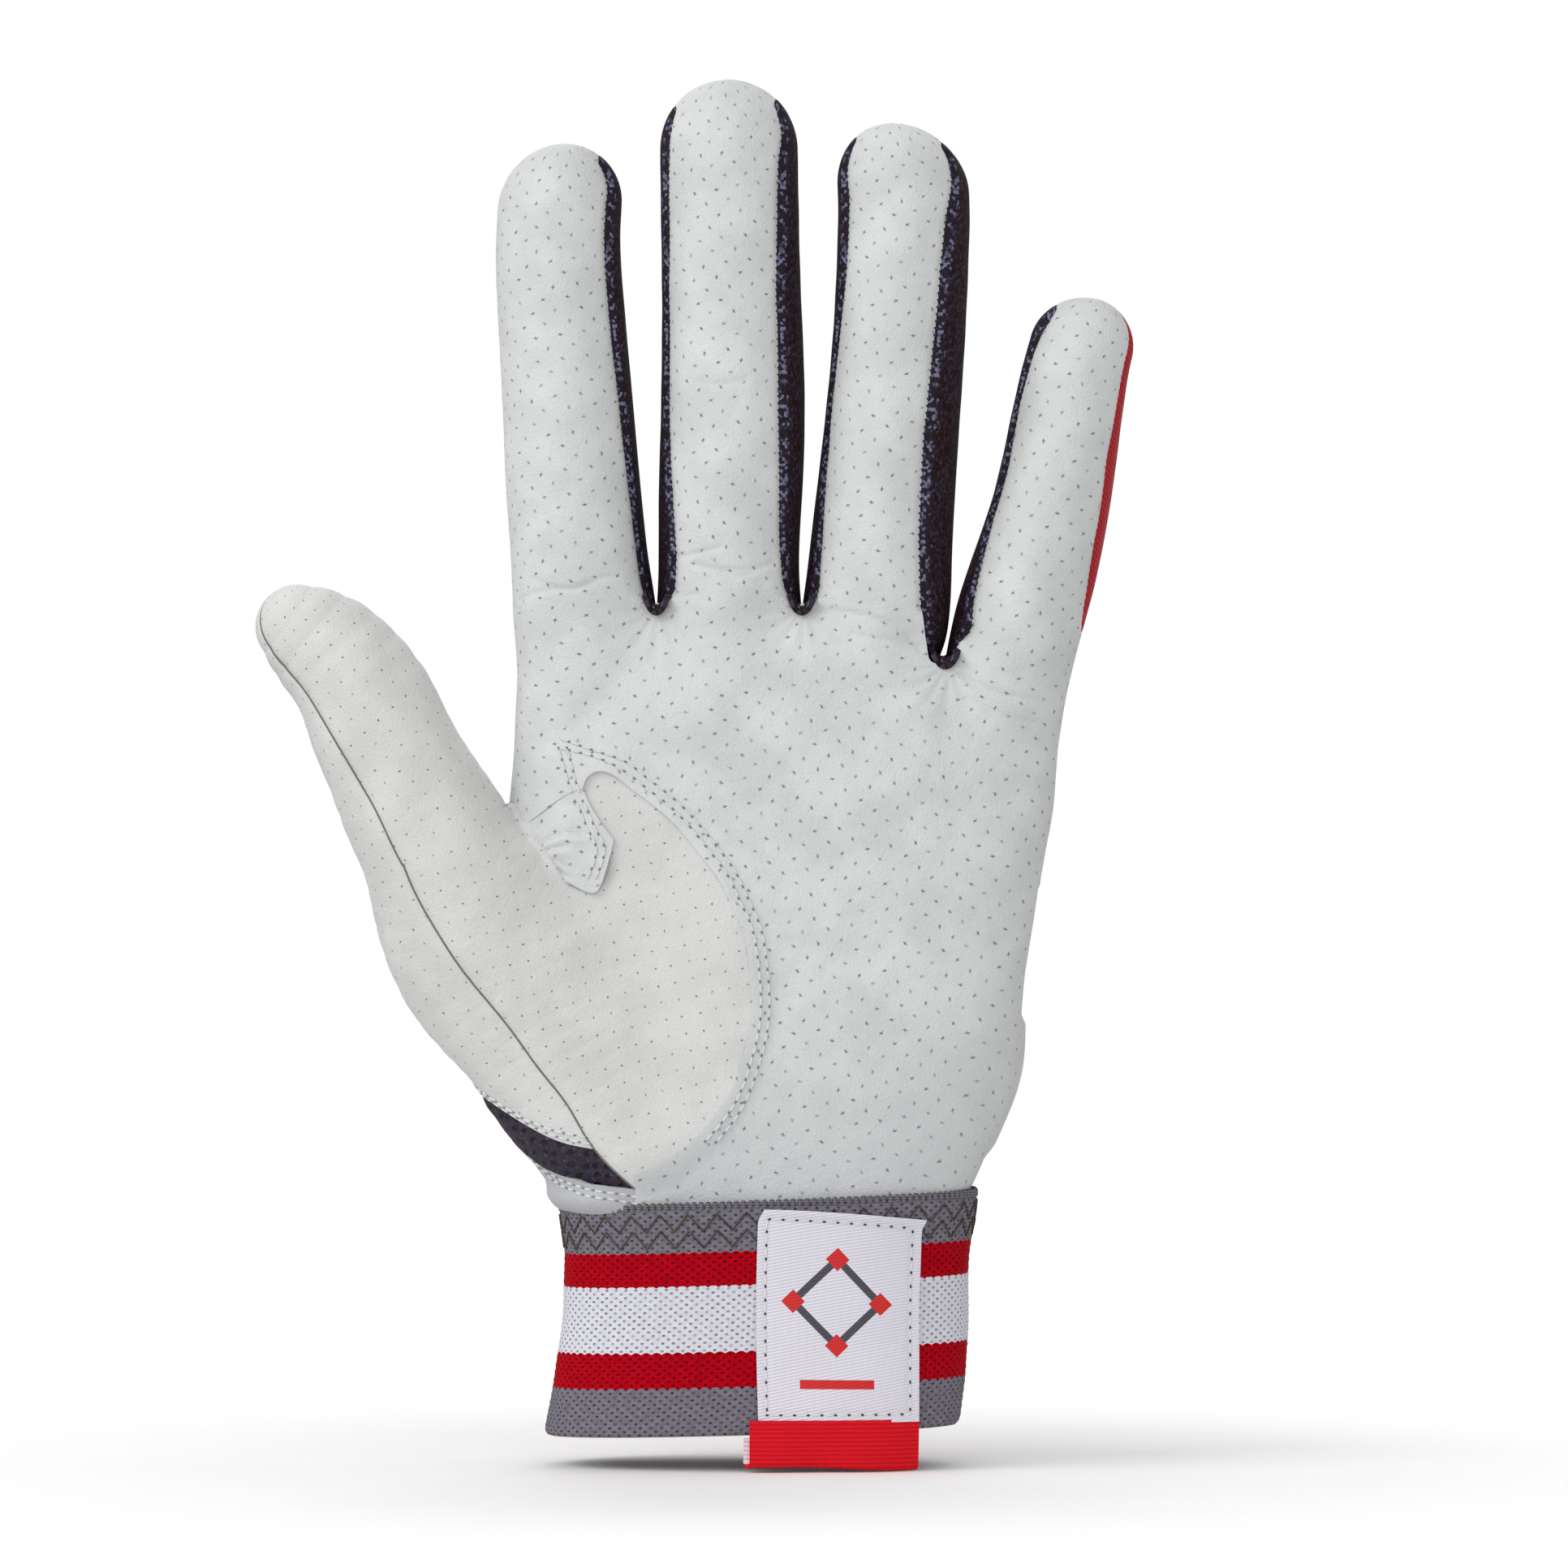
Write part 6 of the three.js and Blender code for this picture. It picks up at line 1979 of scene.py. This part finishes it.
def turn_at_x(x):
    """Turn of the cuff's palm side at a given x."""
    fine = np.linspace(0.02, math.pi - 0.02, 2000)
    points, _ = cuff_at(fine, 0.5, 0)
    return np.interp(-np.asarray(x, float), -points[:, 0], fine)


class GLOVE_OT_cuff(bpy.types.Operator):
    """Adds the banded elastic cuff with its beaded edge and the zigzag threads that hold it"""

    bl_idname = "glove.cuff"
    bl_label = "Elastic cuff"

    def execute(self, context):
        count, rows = 400, 80
        turns, girth = cuff_turns(count)
        turn, up = np.meshgrid(turns, np.linspace(0, 1, rows))
        ribs = 0.05 * np.sin(up * CUFF_ROWS * math.pi)
        edge = -0.5 * (mound(up, 0.012) + mound(1 - up, 0.012))
        points, out = cuff_at(turn, up, ribs + edge)
        around = np.broadcast_to(np.linspace(0, round(girth / CUFF_CELL[0]), count + 1)[:-1], turn.shape)
        uv = np.stack([around, up * CUFF_ROWS], -1)
        sheet, _ = grid_sheet(points, out, CUFF_THICKNESS, uv, ring=True)
        parts = [sheet]
        beads = int(girth / BEAD_PITCH)
        bead_turns, _ = cuff_turns(beads)
        at, out = cuff_at(bead_turns, 1.0, -0.35)
        parts.append(dashes(at, np.broadcast_to((0, 0, 1.0), at.shape), out, *BEAD_SIZE, 1))
        steps = int(girth / ZIGZAG_PITCH) * ZIGZAG_STEPS
        zig_turns, _ = cuff_turns(steps)
        swing = np.abs((np.arange(steps) / ZIGZAG_STEPS % 1) * 2 - 1) * 2 - 1
        for middle in ZIGZAG_HEIGHTS:
            level = (middle + swing * ZIGZAG_RISE) / CUFF_TOP[0]
            path, out = cuff_at(zig_turns, level, 0.12)
            parts.append(tube(path, out, ZIGZAG_RADIUS, 2, 6))
        finishes = ["cuff", "selvage", "dark_thread"]
        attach(add_piece("cuff_webbing", parts, finishes, "cuff_webbing", "elastic_cuff"), "hand")
        return {"FINISHED"}


class GLOVE_OT_label(bpy.types.Operator):
    """Adds the woven label sewn on the cuff and the folded pull loop under it"""

    bl_idname = "glove.label"
    bl_label = "Label and pull loop"

    def execute(self, context):
        self.label()
        self.pull_loop()
        return {"FINISHED"}

    def label(self):
        """Label laid on the cuff, pressed in at its stitches, its top and free side curling outwards."""
        columns, rows = 90, 110
        across, up = np.meshgrid(np.linspace(0, 1, columns), np.linspace(0, 1, rows))
        lip = mound(1 - up, 0.035)
        left = LABEL_SPAN[0] - 0.35 * np.sin(math.pi * up) + 0.9 * lip
        right = LABEL_SPAN[1] + 0.4 * smooth((up - 0.5) / 0.5) + 0.8 * lip
        x = left + (right - left) * across
        top = LABEL_HEIGHTS[1] - 1.9 * across**1.6
        z = LABEL_HEIGHTS[0] + (top - LABEL_HEIGHTS[0]) * up
        share = (z + 0.2) / 37.6
        sewn = np.minimum(np.minimum(across, 1 - across) * 27 - 1.6, np.minimum(up, 1 - up) * 34 - 1.5)
        curl = 0.7 * lip * (0.4 + across) + 0.25 * mound(across - 1, 0.03)
        over = 0.3 + LABEL_THICKNESS + curl - 0.16 * mound(sewn, 0.5) + 0.12 * wave(x * 1.2, z, 16, 9)
        points, _ = cuff_at(turn_at_x(x), share, over)
        points[..., 0] = x
        points[..., 2] = z
        uv = np.stack([across * 26.2, up * 34], -1)
        sheet, normals = grid_sheet(points, (0, -1, 0), LABEL_THICKNESS, uv)
        parts = [sheet]
        corners = np.array([[5, 4], [columns - 6, 4], [columns - 6, rows - 6], [5, rows - 6], [5, 4]], float)
        i, j = np.round(even_line(corners, 1.0)).astype(int).T
        parts += stitch_path(points[j, i], normals[j, i], LABEL_STITCH_PITCH, 0.02, 0.3)
        finishes = ["label", "thread", "needle_shade_dark"]
        made = add_piece("label_satin", parts, finishes, "label_satin", "woven_label")
        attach(made, "hand")

    def pull_loop(self):
        """Ribbon folded at its lower edge: a front leg from under the label, a half turn, a back leg."""
        columns = 80
        across = np.linspace(0, 1, columns)
        bottom = -LOOP_DROP + LOOP_RADIUS
        turns = np.linspace(0, math.pi, 14)[1:]
        front, back = np.linspace(LABEL_HEIGHTS[0] + 0.4, bottom, 20), np.linspace(bottom, -0.4, 12)[1:]
        heights = np.concatenate([front, bottom - LOOP_RADIUS * np.sin(turns), back])
        outs = LOOP_RADIUS * np.concatenate([np.ones(len(front)), np.cos(turns), -np.ones(len(back))])
        behind = smooth((LOOP_RADIUS - outs) / (2 * LOOP_RADIUS))[:, None]
        x = LOOP_WIDTH * across - 0.9 * behind * (1 - across)
        hanging = smooth((2 - heights) / 6)[:, None]
        over = outs[:, None] + 0.35 + 0.25 * np.sin(x * 0.45) * hanging
        points, _ = cuff_at(turn_at_x(x), 0.0, over)
        points[..., 2] = heights[:, None] + 0.35 * np.sin(x * 0.16 + 0.6) * hanging
        way = np.array([0, -1.0, 0]) * (outs > 0)[:, None, None]
        uv = np.stack(np.broadcast_arrays(x, heights[:, None]), -1)
        ribbon, _ = grid_sheet(points, way, LOOP_THICKNESS, uv)
        quads = (len(heights) - 1) * (columns - 1)
        ribbon["materials"][quads:2 * quads] = 1
        finishes = ["ribbon", "ribbon_inside"]
        made = add_piece("pull_loop_ribbon", [ribbon], finishes, "red_ribbon", "pull_loop")
        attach(made, "pull_loop")


class GLOVE_OT_closure(bpy.types.Operator):
    """Adds the strap on the back with its hook tape, and the loop tape it closes on"""

    bl_idname = "glove.closure"
    bl_label = "Closure strap"

    def execute(self, context):
        girth = float(back_q_right(TAB_ROOT_X, TAB_MIDDLE) - little_edge(TAB_MIDDLE, TAB_WRAP))
        end = 1 - TAPE_MARGIN / girth
        tape = (end - TAPE_LENGTH / girth, end)
        loop_height = TAB_CLEARANCE + TAPE_THICKNESS
        hook_height = loop_height + TAB_CLEARANCE + TAPE_THICKNESS
        root_height = TAB_CLEARANCE + TAB_THICKNESS
        rise = (root_height, root_height + hook_height)
        strap, points, normals = self.layer((0, 1), 0, rise, TAB_THICKNESS, *TAB_GRID)
        i, j = np.round(even_line(TAB_ROW, 1.0)).astype(int).T
        parts = [strap, *stitch_path(points[j, i], normals[j, i], STITCH_PITCH, 0.1)]
        finishes = ["plain", "thread", "needle"]
        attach(add_piece("strap_leather", parts, finishes, "white_leather", "closure_tab"), "closure_strap")
        hook, *_ = self.layer(tape, TAPE_MARGIN, (hook_height, hook_height), TAPE_THICKNESS, *TAPE_GRID)
        finishes = ["tape"]
        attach(add_piece("strap_hook_tape", [hook], finishes, "tape_nylon", "hook_patch"), "closure_strap")
        loop, *_ = self.layer(tape, TAPE_MARGIN - 1, (loop_height, loop_height), TAPE_THICKNESS, *TAPE_GRID)
        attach(add_piece("back_loop_tape", [loop], finishes, "tape_nylon", "loop_patch"), "hand")
        return {"FINISHED"}

    def layer(self, span, inset, heights, thickness, columns, rows):
        """One layer of the strap between two shares of its length, rising from one height to another.

        The strap itself, which has no inset, has rounded corners and edges bent down to the skin.
        """
        u, v = np.meshgrid(np.linspace(*span, columns), np.linspace(0, 1, rows))
        corner = 1.2 * smooth((u - 0.96) / 0.04) if inset == 0 else 0
        bent = 1.6 * (1 - smooth(v / 0.16)) + 0.8 * smooth((v - 0.94) / 0.06) if inset == 0 else 0
        low = TAB_HEIGHTS[0] + 3 * (1 - smooth(u / 0.3)) - 1.8 * smooth((u - 0.6) / 0.4) + inset + corner
        high = TAB_HEIGHTS[1] - 9 * (1 - smooth(u / 0.55)) - inset - corner
        z = low + (high - low) * v
        first, last = back_q_right(TAB_ROOT_X, z), little_edge(z, TAB_WRAP)
        start, way = wrist_rays(first + (last - first) * u, z)
        height = heights[0] + (heights[1] - heights[0]) * smooth((u - 0.12) / 0.35)
        points = meet(start, way, thumb_side_field, height - bent)
        sheet, normals = grid_sheet(points, way, thickness, np.stack([u * TAB_LENGTH, z], -1))
        return sheet, points, normals


class GLOVE_OT_stage(bpy.types.Operator):
    """Adds the floor, the studio lights, the white surround and the camera"""

    bl_idname = "glove.stage"
    bl_label = "Stage and camera"

    def execute(self, context):
        scene = context.scene
        self.floor(scene)
        self.surround(scene)
        target = np.array([VIEW_CENTRE[0], 0, VIEW_CENTRE[1]]) * MM
        for name, place, width, power in LAMPS:
            lamp = bpy.data.lights.new(name, "AREA")
            lamp.size = width
            lamp.energy = power
            holder = bpy.data.objects.new(name, lamp)
            holder.location = place
            holder.rotation_euler = turn_towards(np.array(place), target)
            scene.collection.objects.link(holder)

        camera = bpy.data.cameras.new("Camera")
        camera.lens = LENS
        camera.sensor_width = SENSOR
        camera.clip_start = 0.01
        eye = bpy.data.objects.new("Camera", camera)
        distance = VIEW_WIDTH * MM * LENS / SENSOR
        eye.location = (VIEW_CENTRE[0] * MM, -distance, VIEW_CENTRE[1] * MM)
        eye.rotation_euler = (math.pi / 2, 0, 0)
        scene.collection.objects.link(eye)
        scene.camera = eye
        scene.view_settings.view_transform = "Standard"
        return {"FINISHED"}

    def floor(self, scene):
        """Round white floor that fades out towards its rim."""
        floor = bpy.data.meshes.new("Floor")
        turns = np.arange(FLOOR_CORNERS) * 2 * math.pi / FLOOR_CORNERS
        radius = FLOOR_RADIUS * MM
        level = np.full(FLOOR_CORNERS, FLOOR_HEIGHT * MM)
        rim = np.stack([radius * np.cos(turns), radius * np.sin(turns), level], -1)
        floor.from_pydata(rim, [], [list(range(FLOOR_CORNERS))])
        paper, node = start_material("Backdrop paper, white")
        place = node("TexCoord", result="Object")
        clouds = node("MapRange", (node("TexNoise", lumps(place, 60)), 0.3, 0.7))
        tone = node("Mix", {0: clouds, 6: (0.94, 0.94, 0.94, 1), 7: (*scene.glove.floor_colour, 1)}, 2)
        far = node("VectorMath:LENGTH", (place,), "Value")
        fade = node("MapRange", (far, 0.35 * radius, 0.97 * radius, 1, 0))
        shader = {"Base Color": tone, "Alpha": fade, "Roughness": 0.9, "Specular IOR Level": 0.35}
        node("OutputMaterial", (node("BsdfPrincipled", shader),))
        floor.materials.append(paper)
        made = bpy.data.objects.new("Floor", floor)
        scene.collection.objects.link(made)

    def surround(self, scene):
        """White surround: full white to the camera, dimmer as a light."""
        world = bpy.data.worlds.new("Studio white")
        world.use_nodes = True
        world.node_tree.nodes.clear()
        node = partial(add_node, world.node_tree)
        rays = tuple(node("LightPath", result=key) for key in ("Is Camera Ray", "Is Transmission Ray"))
        seen = node("Math:MAXIMUM", rays)
        soft = node("Background", {"Color": (1, 1, 1, 1), "Strength": WORLD_STRENGTH})
        white = node("Background", {"Color": (1, 1, 1, 1), "Strength": 1.0})
        node("OutputWorld", (node("MixShader", (seen, soft, white)),))
        scene.world = world


def turn_towards(place, target):
    """Euler angles of a lamp at place shining at target."""
    way = target - place
    flat = math.hypot(way[0], way[1])
    return (math.atan2(flat, -way[2]), 0, math.atan2(way[1], way[0]) - math.pi / 2)


class GLOVE_PT_panel(bpy.types.Panel):
    """Sidebar list of the glove's parts"""

    bl_idname = "GLOVE_PT_panel"
    bl_label = "Batting glove"
    bl_space_type = "VIEW_3D"
    bl_region_type = "UI"
    bl_category = "Glove"

    def draw(self, context):
        for key in GloveSettings.__annotations__:
            self.layout.prop(context.scene.glove, key)
        for operator in OPERATORS:
            self.layout.operator(operator.bl_idname)


OPERATORS = (
    GLOVE_OT_palm, GLOVE_OT_fingers, GLOVE_OT_thumb, GLOVE_OT_back, GLOVE_OT_wrist, GLOVE_OT_cuff,
    GLOVE_OT_label, GLOVE_OT_closure, GLOVE_OT_stage,
)


def register():
    """Registers the settings, operators and panel."""
    for kind in (GloveSettings, *OPERATORS, GLOVE_PT_panel):
        bpy.utils.register_class(kind)
    bpy.types.Scene.glove = bpy.props.PointerProperty(type=GloveSettings)


def unregister():
    """Removes what register added."""
    del bpy.types.Scene.glove
    for kind in (GLOVE_PT_panel, *reversed(OPERATORS), GloveSettings):
        bpy.utils.unregister_class(kind)


def main():
    """Builds the glove and its stage."""
    register()
    bpy.ops.glove.palm()
    bpy.ops.glove.fingers()
    bpy.ops.glove.thumb()
    bpy.ops.glove.back()
    bpy.ops.glove.wrist()
    bpy.ops.glove.cuff()
    bpy.ops.glove.label()
    bpy.ops.glove.closure()
    bpy.ops.glove.stage()


if __name__ == "__main__":
    main()
